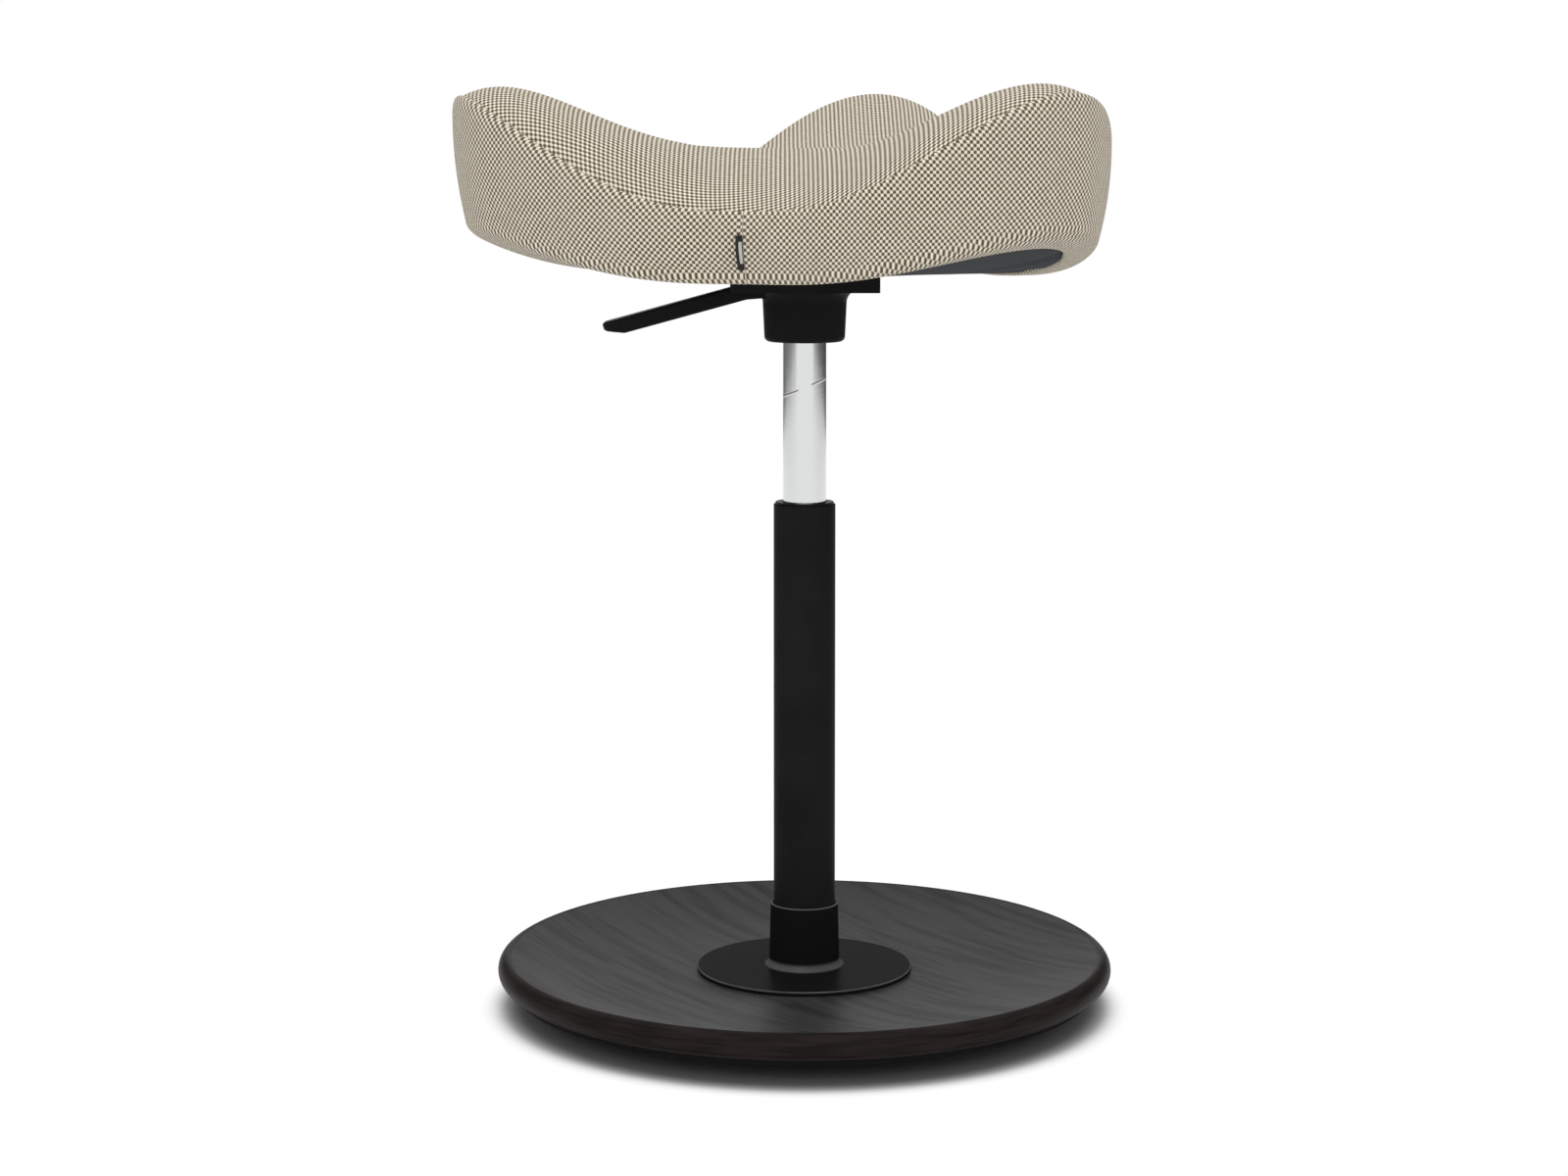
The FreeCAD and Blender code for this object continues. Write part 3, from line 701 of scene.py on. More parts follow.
@dataclass(frozen=True)
class LobedForm:
    """The seat's shape: every size swings between its value at a lobe and at a dip."""

    under: float
    lobes: int = 3
    reach: tuple[float, float, float] = (223.9 * MM, 147.3 * MM, 1.2 * MM)
    lean: tuple[float, float, float] = (7.6 * MM, 6.0 * MM, 0.0)
    seam_height: tuple[float, float, float] = (112.7 * MM, 42.6 * MM, 7.7 * MM)
    edge_height: tuple[float, float, float] = (30.3 * MM, 1.3 * MM, 3.8 * MM)
    middle_height: float = 80.2 * MM
    crown: float = 15.4 * MM
    crown_power: float = 2.15
    seam_inset: float = 3.0 * MM
    seam_drop: float = 9.0 * MM
    bulge: float = 2.0 * MM
    corner: float = 6.0 * MM
    hem: tuple[float, float] = (21.0 * MM, 56.0 * MM)
    hem_turn: tuple[float, float] = (2.05, 0.60)

    def lobed(self, size: tuple[float, float, float], turn: np.ndarray) -> np.ndarray:
        """Mean less flatness, plus half the swing times cos 3t, plus flatness times cos 6t.

        Args:
            size: the size at a lobe, at a dip, and how much the dip is widened.
            turn: angle from the rear lobe.

        Returns:
            The size at each turn.
        """
        lobe, dip, flat = size
        wave = (lobe - dip) / 2 * np.cos(self.lobes * turn)
        return (lobe + dip) / 2 - flat + wave + flat * np.cos(2 * self.lobes * turn)

    def outline(self, turn: np.ndarray) -> np.ndarray:
        """Radius of the widest line, at the head of the wall.

        Args:
            turn: angle from the rear lobe.

        Returns:
            The radius at each turn.
        """
        return self.lobed(self.reach, turn)

    def edge(self, turn: np.ndarray) -> np.ndarray:
        """Radius at the foot of the wall.

        Args:
            turn: angle from the rear lobe.

        Returns:
            The radius at each turn.
        """
        return self.outline(turn) - self.lobed(self.lean, turn)

    def inner(self, turn: np.ndarray) -> np.ndarray:
        """Radius of the hem's inner edge: the hem is wider by a Gaussian at the left.

        Args:
            turn: angle from the rear lobe.

        Returns:
            The radius at each turn.
        """
        where, spread = self.hem_turn
        off = np.mod(turn - where + math.pi, math.tau) - math.pi
        return self.edge(turn) - self.hem[0] - self.hem[1] * np.exp(-((off / spread) ** 2))

    def seam_z(self, turn: np.ndarray) -> np.ndarray:
        """Height of the main seam.

        Args:
            turn: angle from the rear lobe.

        Returns:
            The height at each turn.
        """
        return self.under + self.lobed(self.seam_height, turn)

    def edge_z(self, turn: np.ndarray) -> np.ndarray:
        """Height of the lower edge.

        Args:
            turn: angle from the rear lobe.

        Returns:
            The height at each turn.
        """
        return self.under + self.lobed(self.edge_height, turn)

    def underside(self, radius: np.ndarray, turn: np.ndarray) -> np.ndarray:
        """Height below the seat: it climbs with the cube of the share of the edge's radius.

        Args:
            radius: distance from the seat's axis.
            turn: angle from the rear lobe.

        Returns:
            The height at each place.
        """
        share = radius / self.edge(turn)
        return self.under + (self.edge_z(turn) - self.under) * share**3

    def top(self, share: np.ndarray, turn: np.ndarray) -> np.ndarray:
        """Points of the top: a sine swell up to the crest, less a drop with share to the 8th.

        Args:
            share: 0 in the middle, 1 at the seam.
            turn: angle from the rear lobe.

        Returns:
            The points.
        """
        middle = self.under + self.middle_height
        swell = (np.sin(math.pi * share / 2) ** 2) ** self.crown_power
        crest = self.seam_z(turn) + self.crown
        height = middle + (crest - middle) * swell - self.crown * share**8
        return self.at((self.outline(turn) - self.seam_inset) * share, turn, height)

    @staticmethod
    def at(radius: np.ndarray, turn: np.ndarray, height: np.ndarray) -> np.ndarray:
        """Points from round coordinates.

        Args:
            radius: distance from the seat's axis.
            turn: angle from +Y, where the rear lobe is.
            height: height above the floor.

        Returns:
            The points.
        """
        parts = np.broadcast_arrays(-radius * np.sin(turn), radius * np.cos(turn), height)
        return np.stack(parts, axis=-1)

    def side(self, turn: np.ndarray) -> np.ndarray:
        """Rows from below the seam to the folded hem.

        A quarter round leads from the seam to the wall, which bulges as a parabola. A second
        quarter round leads to the underside, and the hem ends in a half round fold.

        Args:
            turn: the columns' turns.

        Returns:
            Rows of points, the seam's own row left out.
        """
        edge, edge_z, seam_z = self.edge(turn), self.edge_z(turn), self.seam_z(turn)
        head, foot = seam_z - self.seam_drop, edge_z + self.corner
        rows = []
        for angle in np.linspace(0.5, 0.0, 8)[1:] * math.pi:
            radius = self.outline(turn) - self.seam_inset * (1 - math.cos(angle))
            rows.append((radius, seam_z - self.seam_drop * (1 - math.sin(angle))))
        for share in np.linspace(1.0, 0.0, 15)[1:]:
            bulge = 4 * self.bulge * share * (1 - share)
            radius = edge + (self.outline(turn) - edge) * share + bulge
            rows.append((radius, foot + (head - foot) * share))
        for angle in np.linspace(0.5, 0.0, 6)[1:] * math.pi:
            radius = edge - self.corner * (1 - math.sin(angle))
            drop = edge_z - self.underside(radius, turn)
            down = max(0.0, 1.0 - angle / (0.35 * math.pi)) ** 2
            rows.append((radius, edge_z + self.corner * (1 - math.cos(angle)) - drop * down))
        inner = self.inner(turn)
        fold = 1.2 * MM
        for share in np.linspace(0.0, 1.0, 6)[1:]:
            radius = edge - self.corner - (edge - inner - self.corner - fold) * share
            rows.append((radius, self.underside(radius, turn)))
        for angle in np.linspace(0.0, 1.0, 5)[1:] * math.pi:
            radius = inner + fold * (1 - math.sin(angle))
            rows.append((radius, self.underside(inner, turn) + fold * (1 - math.cos(angle))))
        rows.append((inner + 5 * fold, self.underside(inner + 5 * fold, turn) + 2 * fold))
        return np.stack([self.at(radius, turn, height) for radius, height in rows])


@dataclass
class Cloth:
    """The stuffed cover: one closed skin is blown up, then parted at the main seam."""

    MAP = "weave_map"

    form: LobedForm
    half: int = 48
    pinch: float = 0.4
    swell_cap: float = 3.5 * MM
    pressure: float = 4.0
    frames: int = 20
    quality: int = 5
    mass: float = 0.3
    tension: float = 25.0
    shear: float = 12.0
    bending: float = 2.0
    sheet: float = 1.6 * MM
    groove: float = 1.3 * MM
    groove_width: float = 0.9 * MM
    upright_share: float = 0.8
    hem_share: float = 0.3
    top_pitch: float = 2.82 * MM
    side_pitch: float = 2.7 * MM
    roll_rate: float = 0.45
    panel_shift: float = 0.37
    head: int = 7
    middle: int = 14
    held: int = 19
    knee: int = 21

    grid: np.ndarray = field(init=False)
    ring: np.ndarray = field(init=False)
    turn: np.ndarray = field(init=False)
    points: np.ndarray = field(init=False)
    shares: np.ndarray = field(init=False)

    def __post_init__(self) -> None:
        """Lay out the closed skin: a round grid of squares for the top, then the side's rows."""
        line = np.linspace(-1.0, 1.0, 2 * self.half + 1)
        a, b = np.meshgrid(line, line, indexing="ij")
        wide = np.abs(a) >= np.abs(b)
        with np.errstate(divide="ignore", invalid="ignore"):
            near = math.pi / 4 * b / a + math.pi * (a < 0)
            far = math.pi / 2 - math.pi / 4 * a / b + math.pi * (b < 0)
        angle = np.nan_to_num(np.where(wide, near, far)) + math.pi / 3
        reach = np.maximum(np.abs(a), np.abs(b))
        share = 1 - (1 - reach) ** 1.35
        turn = angle + self.pinch / 3 * np.sin(3 * angle)
        self.shares = share.ravel()
        self.grid = np.arange(a.size).reshape(a.shape)
        rim = self.grid[reach > 0.9999]
        order = np.argsort(np.mod(angle.ravel()[rim] - math.pi / 3 + 1e-9, math.tau))
        self.ring = rim[order]
        self.turn = turn.ravel()[self.ring]
        top = self.form.top(share, turn).reshape(-1, 3)
        self.points = np.concatenate([top, self.form.side(self.turn).reshape(-1, 3)])

    def side_index(self) -> np.ndarray:
        """Corner numbers of the side's rows, from the seam down."""
        columns = len(self.ring)
        below = np.arange(self.grid.size, len(self.points)).reshape(-1, columns)
        return np.concatenate([self.ring[None], below])

    def top_faces(self) -> np.ndarray:
        """The top's quads, facing up."""
        g = self.grid
        return np.stack([g[:-1, :-1], g[1:, :-1], g[1:, 1:], g[:-1, 1:]], -1).reshape(-1, 4)

    def side_faces(self) -> np.ndarray:
        """The side's quads, facing out."""
        here = self.side_index()
        after = np.roll(here, -1, axis=1)
        return np.stack([here[:-1], here[1:], after[1:], after[:-1]], -1).reshape(-1, 4)

    def inflate(self) -> None:
        """Blow the skin up like a stuffed cushion, with seams and underside held."""
        index = self.side_index()
        cap = index[-1][::-1].tolist()
        faces = self.top_faces().tolist() + self.side_faces().tolist() + [cap]
        trial = mesh_piece("stuffing_trial", self.points, faces)
        held = np.unique(np.concatenate([index[0], index[self.held :].ravel()]))
        seams = np.arange(3) * len(self.ring) // 3
        held = np.unique(np.concatenate([held, index[:, seams].ravel()]))
        group = trial.vertex_groups.new(name="held")
        group.add(held.tolist(), 1.0, "REPLACE")
        cloth = trial.modifiers.new("cloth", "CLOTH")
        settings = cloth.settings
        settings.quality = self.quality
        settings.mass = self.mass
        settings.tension_stiffness = settings.compression_stiffness = self.tension
        settings.shear_stiffness = self.shear
        settings.bending_stiffness = self.bending
        settings.use_pressure = True
        settings.uniform_pressure_force = self.pressure
        settings.vertex_group_mass = "held"
        settings.effector_weights.gravity = 0.0
        cloth.collision_settings.use_collision = False
        scene = bpy.context.scene
        for frame_number in range(1, self.frames + 1):
            scene.frame_set(frame_number)
        shown = trial.evaluated_get(bpy.context.evaluated_depsgraph_get())
        moved = np.empty(len(self.points) * 3, np.float32)
        shown.data.vertices.foreach_get("co", moved)
        shift = moved.reshape(-1, 3) - self.points
        length = np.linalg.norm(shift, axis=1, keepdims=True)
        capped = self.swell_cap * np.tanh(length / self.swell_cap)
        self.points = self.points + shift * capped / np.maximum(length, 1e-9)
        LOG.info("stuffing moved the cover %.2f mm at most", float(capped.max()) / MM)
        scene.frame_set(1)
        bpy.data.objects.remove(trial)

    def normals(self) -> np.ndarray:
        """Outward direction at every corner: the sum of its faces' cross products."""
        faces = np.concatenate([self.top_faces(), self.side_faces()])
        quad = self.points[faces]
        cross = np.cross(quad[:, 2] - quad[:, 0], quad[:, 3] - quad[:, 1])
        total = np.zeros_like(self.points)
        for corner in range(4):
            np.add.at(total, faces[:, corner], cross)
        return total / np.maximum(np.linalg.norm(total, axis=1, keepdims=True), 1e-12)

    def sew(self) -> None:
        """Sink the seams: each corner drops by a Gaussian of its distance from a seam."""
        seam = self.points[self.ring]
        depth = np.zeros(len(self.points))
        index = self.side_index()
        down = self.lengths(index)
        depth[index] = np.exp(-((down / self.groove_width) ** 2))
        radius = np.linalg.norm(self.points[index][:, :, :2], axis=2)
        away = np.abs(np.mod(self.turn, math.tau / 3) - math.pi / 3)
        upright = np.exp(-((away * radius / self.groove_width) ** 2))
        upright[self.knee + 1 :] *= self.hem_share
        depth[index] = np.maximum(depth[index], upright * self.upright_share)
        flat = self.points[: self.grid.size]
        rim = np.linalg.norm(seam[:, :2], axis=1)
        outer = np.hypot(flat[:, 0], flat[:, 1])
        turn = np.mod(np.arctan2(-flat[:, 0], flat[:, 1]), math.tau)
        order = np.argsort(np.mod(self.turn, math.tau))
        edge = np.interp(turn, np.mod(self.turn, math.tau)[order], rim[order], period=math.tau)
        inner = np.exp(-(((edge - outer) / self.groove_width) ** 2))
        depth[: self.grid.size] = np.maximum(depth[: self.grid.size], inner)
        self.points = self.points - self.normals() * (depth * self.groove)[:, None]

    def lengths(self, index: np.ndarray) -> np.ndarray:
        """Length down each column from the seam.

        Args:
            index: corner numbers of the side's rows.

        Returns:
            The length at each corner.
        """
        step = np.linalg.norm(np.diff(self.points[index], axis=0), axis=2)
        return np.concatenate([np.zeros((1, index.shape[1])), np.cumsum(step, axis=0)])

    def side_map(self) -> np.ndarray:
        """The side's weave: length round the wall and down it, turned by an eighth.

        Lengths down start at a level line, so the yarns run straight while the seam climbs.
        Below the lower corner they count for less, because the cloth is drawn tight over the
        shell's edge there.

        Returns:
            Flat places of each face corner, in weave periods.
        """
        index = self.side_index()
        wall = self.points[index[self.middle]]
        step = np.linalg.norm(np.roll(wall, -1, axis=0) - wall, axis=1)
        begin = np.concatenate([[0.0], np.cumsum(step)])
        down = self.lengths(index)
        down = down - down[self.knee]
        down = np.where(down > 0, down * self.roll_rate, down) - self.points[index[self.knee], 2]
        across = np.stack([begin[:-1], begin[:-1], begin[1:], begin[1:]], -1)[None]
        panel = np.arange(len(step)) * 3 // len(step)
        across = across + (panel * self.panel_shift * self.side_pitch)[None, :, None]
        after = np.roll(down, -1, axis=1)
        height = np.stack([down[:-1], down[1:], after[1:], after[:-1]], -1)
        across = np.broadcast_to(across, height.shape)
        turned = np.stack([across + height, across - height], -1)
        return turned / (math.sqrt(2) * self.side_pitch)

    def top_map(self) -> np.ndarray:
        """The top's weave, laid flat along the stool's front."""
        turn = math.radians(View.TURN)
        x, y = self.points[: self.grid.size, 0], self.points[: self.grid.size, 1]
        reach = np.hypot(x, y)
        spread = 1 + self.rim_excess() / np.maximum(reach, 1e-6)
        x, y = x * spread, y * spread
        flat = np.stack([x * math.cos(turn) + y * math.sin(turn),
                         y * math.cos(turn) - x * math.sin(turn)], -1)
        return (flat / self.top_pitch)[self.top_faces()]

    def rim_excess(self) -> np.ndarray:
        """How much longer the cloth is than its plan, where it drops to the seam.

        The drop goes with the share to the 8th, so length is gained with its slope there.
        """
        share = np.linspace(0.0, 1.0, 400)
        slope = 8 * self.form.crown * share**7
        step = self.form.reach[1]
        gain = np.cumsum(np.hypot(step, slope) - step) / 400
        return np.interp(self.shares, share, gain)

    def pieces(self) -> tuple[bpy.types.Object, bpy.types.Object]:
        """Part the skin at the main seam.

        Returns:
            The top panel and the side panel.
        """
        made = []
        parts = (
            ("seat_top", self.top_faces(), self.top_map()),
            ("seat_side", self.side_faces(), self.side_map()),
        )
        for name, faces, flat in parts:
            used, small = np.unique(faces, return_inverse=True)
            piece = mesh_piece(name, self.points[used], small.reshape(-1, 4).tolist(), flat)
            smoother(piece, 1)
            thicken(piece, self.sheet, -1.0)
            made.append(piece)
        return made[0], made[1]


@dataclass
class Stitches:
    """Short dark stitches that lie in the main seam and the upright seams."""

    pitch: float = 4.1 * MM
    length: float = 2.7 * MM
    radius: float = 0.34 * MM
    rise: float = 0.30 * MM
    rings: int = 5
    sides: int = 6

    def along(self, line: np.ndarray, out: np.ndarray, closed: bool) -> np.ndarray:
        """Spindles at even steps along a line: each ring's radius follows a half sine.

        Args:
            line: points of the seam.
            out: outward direction at each point.
            closed: whether the seam runs round.

        Returns:
            Points of every stitch: stitch, ring, side, axis.
        """
        if closed:
            line, out = (np.concatenate([a, a[:1]]) for a in (line, out))
        step = np.linalg.norm(np.diff(line, axis=0), axis=1)
        place = np.concatenate([[0.0], np.cumsum(step)])
        count = int(place[-1] // self.pitch)
        start = np.linspace(0.0, place[-1], count, endpoint=False) + self.pitch * 0.2
        share = np.linspace(0.0, 1.0, self.rings)
        where = np.minimum(start[:, None] + share[None] * self.length, place[-1])
        centre = np.stack([np.interp(where, place, line[:, i]) for i in range(3)], -1)
        up = np.stack([np.interp(where, place, out[:, i]) for i in range(3)], -1)
        ahead = centre[:, -1:] - centre[:, :1]
        ahead = ahead / np.maximum(np.linalg.norm(ahead, axis=2, keepdims=True), 1e-9)
        side = np.cross(up, np.broadcast_to(ahead, up.shape))
        arch = np.sin(math.pi * share)
        centre = centre + up * (self.rise * (arch - 0.4))[None, :, None]
        thick = self.radius * np.sqrt(np.maximum(arch, 0.0)) + 0.03 * MM
        angle = np.linspace(0.0, math.tau, self.sides, endpoint=False)
        ring = (
            up[:, :, None] * np.cos(angle)[:, None] + side[:, :, None] * np.sin(angle)[:, None]
        )
        return centre[:, :, None] + ring * thick[None, :, None, None]

    def build(self, cloth: Cloth) -> bpy.types.Object:
        """Sew the main seam and the three upright seams.

        Args:
            cloth: the cover, after its seams are sunk.

        Returns:
            The stitches.
        """
        index = cloth.side_index()
        normal = cloth.normals()
        ring = cloth.ring
        sets = [self.along(cloth.points[ring], normal[ring], True)]
        for third in range(3):
            column = index[1 : cloth.knee + 4, third * len(ring) // 3]
            sets.append(self.along(cloth.points[column], normal[column], False))
        points = np.concatenate(sets)
        count, rings, sides = points.shape[:3]
        here = np.arange(rings * sides).reshape(rings, sides)
        after = np.roll(here, -1, axis=1)
        wall = np.stack([here[:-1], after[:-1], after[1:], here[1:]], -1).reshape(-1, 4)
        shift = (np.arange(count) * rings * sides)[:, None, None]
        faces = (wall[None] + shift).reshape(-1, 4).tolist()
        first = (here[0][::-1][None] + shift[:, 0]).tolist()
        last = (here[-1][None] + shift[:, 0]).tolist()
        return mesh_piece("seam_stitches", points, faces + first + last)


@dataclass
class Tag:
    """A folded black tag sewn into the front dip's upright seam."""

    shares: tuple[float, float] = (0.02, 0.84)
    reach: float = 9.4 * MM
    thickness: float = 1.4 * MM
    turn: float = 17.0
    depth: float = 1.2 * MM
    sway: float = 0.15 * MM

    def build(self, root: np.ndarray) -> bpy.types.Object:
        """A strip goes out from the seam, round a fold and back, along the seam's line.

        Args:
            root: points of the seam's line from the tag's foot to its head.

        Returns:
            The tag.
        """
        half = self.thickness / 2
        out = np.linspace(0.0, self.reach - half, 9)
        bend = np.linspace(-math.pi / 2, math.pi / 2, 7)[1:-1]
        away = np.concatenate([out, self.reach - half + half * np.cos(bend), out[::-1]])
        across = np.concatenate([np.full(9, -half), half * np.sin(bend), np.full(9, half)])
        wave = self.sway * np.sin(np.linspace(0.0, 2.6 * math.pi, len(root)))
        turn = math.radians(self.turn)
        ahead = np.array([-math.sin(turn), -math.cos(turn), 0.0])
        side = np.array([math.cos(turn), -math.sin(turn), 0.0])
        sway = wave[:, None] * (away[None] / self.reach) ** 2
        points = (
            root[:, None]
            + (away[None] - self.depth)[..., None] * ahead
            + (across[None] + sway)[..., None] * side
        )
        v = np.linspace(0.0, 1.0, len(root))
        place = np.stack(np.broadcast_arrays(away[None] / self.reach, v[:, None]), -1)
        faces = Skin(points, wrap=True, caps=(True, True)).faces()
        flat = place.reshape(-1, 2)[np.concatenate([np.array(f) for f in faces])]
        tag = mesh_piece("seat_tag", points, faces, flat)
        smoother(tag, 1)
        return tag


@dataclass
class Lining:
    """Thin dark cloth drawn over the underside inside the hem, with soft creases."""

    form: LobedForm
    gap: float = 0.6 * MM
    thickness: float = 1.2 * MM
    crease: float = 2.6 * MM
    lift: float = 0.15 * MM
    rows: int = 60
    columns: int = 288

    def build(self) -> bpy.types.Object:
        """Rings follow the underside, raised by creases that run out to the hem.

        Returns:
            The lining.
        """
        turn = np.linspace(0.0, math.tau, self.columns, endpoint=False)
        share = np.linspace(0.004, 1.0, self.rows)[:, None]
        radius = (self.form.inner(turn) - self.gap)[None] * share
        ripple = 0.5 + 0.5 * np.sin(turn * 11 + 2.2 * np.sin(turn * 4) + share * 5.0)
        crease = self.crease * ripple**6 * np.clip(share - 0.5, 0.0, 0.42) * 2
        height = self.form.underside(radius, turn[None]) + self.lift + crease
        points = self.form.at(radius, turn[None], height)
        skin = Skin(points, wrap=True, caps=(True, False))
        piece = skin_piece("seat_lining", skin)
        thicken(piece, self.thickness, 1.0)
        return piece


@dataclass
class Seat:
    """The padded seat with its cover, seams, tag and lining."""

    form: LobedForm

    def build(self) -> None:
        """Build and dress the seat's pieces."""
        cloth = Cloth(self.form)
        cloth.inflate()
        cloth.sew()
        weave = Weave().material()
        top, side = cloth.pieces()
        dress(top, weave, Body.SEAT, ("seat_cover_top", "seat_foam"))
        dress(side, weave, Body.SEAT, ("seat_cover_side",))
        self.tag(cloth)
        thread = Coat("seam_thread", (0.060, 0.048, 0.030), 0.8, specular=0.2, skin=0.05 * MM)
        dress(Stitches().build(cloth), thread.material(), Body.SEAT)
        lining = Lining(self.form).build()
        felt = Felt("lining_cloth", (0.050, 0.053, 0.056), (0.034, 0.036, 0.039))
        dress(lining, felt.material(), Body.SEAT, ("underside_lining",))

    def tag(self, cloth: Cloth) -> None:
        """Sew the tag into the front dip's seam.

        Args:
            cloth: the cover, after its seams are sunk.
        """
        index = cloth.side_index()
        front = int(np.argmin(np.abs(np.mod(cloth.turn, math.tau) - math.pi)))
        line = cloth.points[index[cloth.head : cloth.knee + 1, front]]
        tag = Tag()
        low, high = tag.shares
        share = np.linspace(0.0, 1.0, len(line))[::-1]
        height = np.linspace(low, high, 17)
        ends = [np.interp(height, share[::-1], line[::-1, axis]) for axis in range(3)]
        piece = tag.build(np.stack(ends, -1))
        dress(piece, TagCloth().material(), Body.SEAT, ("fabric_tag",))


@dataclass(frozen=True)
class TagCloth:
    """Fine black tape with a plain pale panel, bare of any print."""

    name: str = "tag_tape"
    tape: Rgb = (0.010, 0.010, 0.011)
    panel: Rgb = (0.62, 0.62, 0.60)

    def material(self) -> bpy.types.Material:
        """The panel is a box with soft corners on the tag's own map.

        Returns:
            The tape's material.
        """
        graph = Graph(self.name)
        flat = graph.node("ShaderNodeUVMap", {"uv_map": Cloth.MAP}, {})
        away, up, _ = graph.axes(flat)
        inside = 1.0 - (away - 0.62).size().ramp(0.17, 0.21)
        inside = inside * (1.0 - (up - 0.5).size().ramp(0.30, 0.32))
        thread = graph.noise(graph.place(0.0, (1.0, 1.0, 4.0)), 1500.0, 2.0)
        tone = graph.mix(inside, self.tape, self.panel)
        graph.set(Base_Color=tone, Roughness=0.7 - inside * 0.15 + thread * 0.1)
        graph.bump(thread, 0.06 * MM, 0.7)
        return graph.material


# Stand


@dataclass(frozen=True)
class LeverForm:
    """Sizes of the height lever, in the bracket's own turned frame."""

    turn: float = 14.9
    pivot: tuple[float, float] = (-23.6 * MM, 468.8 * MM)
    width: float = 26.0 * MM
    thickness: float = 9.0 * MM
    length: float = 109.0 * MM
    droop: float = 15.3
    tip_corner: float = 7.0 * MM
    tip_facet: float = 12.5 * MM
    tip_edge: float = 5.4 * MM
    nose: float = 2.2 * MM
    belly: float = 1.1 * MM
    root_length: float = 15.5 * MM
    slot_floor: float = 460.2 * MM
    finger_end: float = 4.0 * MM
    finger_root: float = -19.0 * MM
    finger_thickness: float = 5.7 * MM
    heel: float = -24.8 * MM
    step: float = 0.1 * MM


@dataclass
class Lever:
    """A flat paddle with soft edges that droops to the left."""

    form: LeverForm = LeverForm()
    stations: int = 90
    around: int = 68
    power: float = 12.0

    def build(self) -> bpy.types.Object:
        """Carry a rounded box section along the lever, narrowing round the tip's corners.

        Each section lies between a lower and an upper point. Its outline is a superellipse
        of even power, and its half width falls on a quarter circle over the tip's corners.

        Returns:
            The lever.
        """
        f = self.form
        finger_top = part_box("height_lever")[1].z
        finger_low = finger_top - f.finger_thickness
        droop = math.radians(f.droop)
        along = np.array([-math.cos(droop), -math.sin(droop)])
        up = np.array([-math.sin(droop), math.cos(droop)])
        pivot, half = np.array(f.pivot), f.thickness / 2
        under = half + f.belly
        root, facet, tip = (pivot + along * d
                            for d in (f.root_length, f.length - f.tip_facet, f.length))
        start = f.finger_end - f.pivot[0]
        slot = f.finger_end - f.finger_root
        keys = np.array([0.0, slot, slot + f.step, start, start + f.root_length,
                         start + f.length - f.tip_facet, start + f.length])
        before, after = f.finger_root + f.step, f.finger_root - f.step
        tops = np.array([[f.finger_end, finger_top], [before, finger_top], [after, finger_top],
                         pivot + up * half, root + up * half, facet + up * half,
                         tip + up * half])
        lows = np.array([[f.finger_end, finger_low], [before, finger_low],
                         [after, f.slot_floor], [f.heel, f.slot_floor], root - up * under,
                         facet - up * under, tip + up * (half - f.tip_edge)])
        place = np.concatenate([np.linspace(0.0, keys[-1] - f.tip_corner, self.stations),
                                keys[-1] - f.tip_corner * (1 - np.sin(
                                    np.linspace(0.0, math.pi / 2, 24)[1:]))])
        upper = np.stack([np.interp(place, keys, tops[:, i]) for i in (0, 1)], -1)
        lower = np.stack([np.interp(place, keys, lows[:, i]) for i in (0, 1)], -1)
        past = np.clip(place - (keys[-1] - f.tip_corner), 0.0, f.tip_corner)
        wide = f.width / 2 - f.tip_corner + np.sqrt(f.tip_corner**2 - past**2)
        angle = np.linspace(0.0, math.tau, self.around, endpoint=False)
        cx = np.sign(np.cos(angle)) * np.abs(np.cos(angle)) ** (2 / self.power)
        sy = np.sign(np.sin(angle)) * np.abs(np.sin(angle)) ** (2 / self.power)
        middle, rise = (upper + lower) / 2, (upper - lower) / 2
        blunt = np.clip(place - (keys[-1] - f.nose), 0.0, f.nose) / f.nose
        rise = rise * np.sqrt(1.0 - 0.75 * blunt**2)[:, None]
        flat = middle[:, None] + rise[:, None] * sy[None, :, None]
        side = wide[:, None] * cx[None]
        turn = math.radians(f.turn)
        x = flat[..., 0] * math.cos(turn) - side * math.sin(turn)
        y = flat[..., 0] * math.sin(turn) + side * math.cos(turn)
        skin = Skin(np.stack([x, y, flat[..., 1]], -1), wrap=True, caps=(True, True))
        return skin_piece("height_paddle", skin)


def rounded(corners: Sequence[tuple[float, float, float]], steps: int = 5) -> np.ndarray:
    """Round a closed profile: a parabola spans each corner between points on its two sides.

    Args:
        corners: radius, height and how far the rounding runs along both sides, in millimetres.
        steps: points of each rounding.

    Returns:
        The profile's radii and heights in metres.
    """
    place = np.array([c[:2] for c in corners]) * MM
    made = []
    for number, corner in enumerate(corners):
        here, before, after = place[number], place[number - 1], place[(number + 1) % len(place)]
        if corner[2] <= 0:
            made.append(here[None])
            continue
        run = corner[2] * MM
        first = here + (before - here) * (run / np.linalg.norm(before - here))
        last = here + (after - here) * (run / np.linalg.norm(after - here))
        t = np.linspace(0.0, 1.0, steps)[:, None]
        made.append((1 - t) ** 2 * first + 2 * t * (1 - t) * here + t**2 * last)
    return np.concatenate(made)


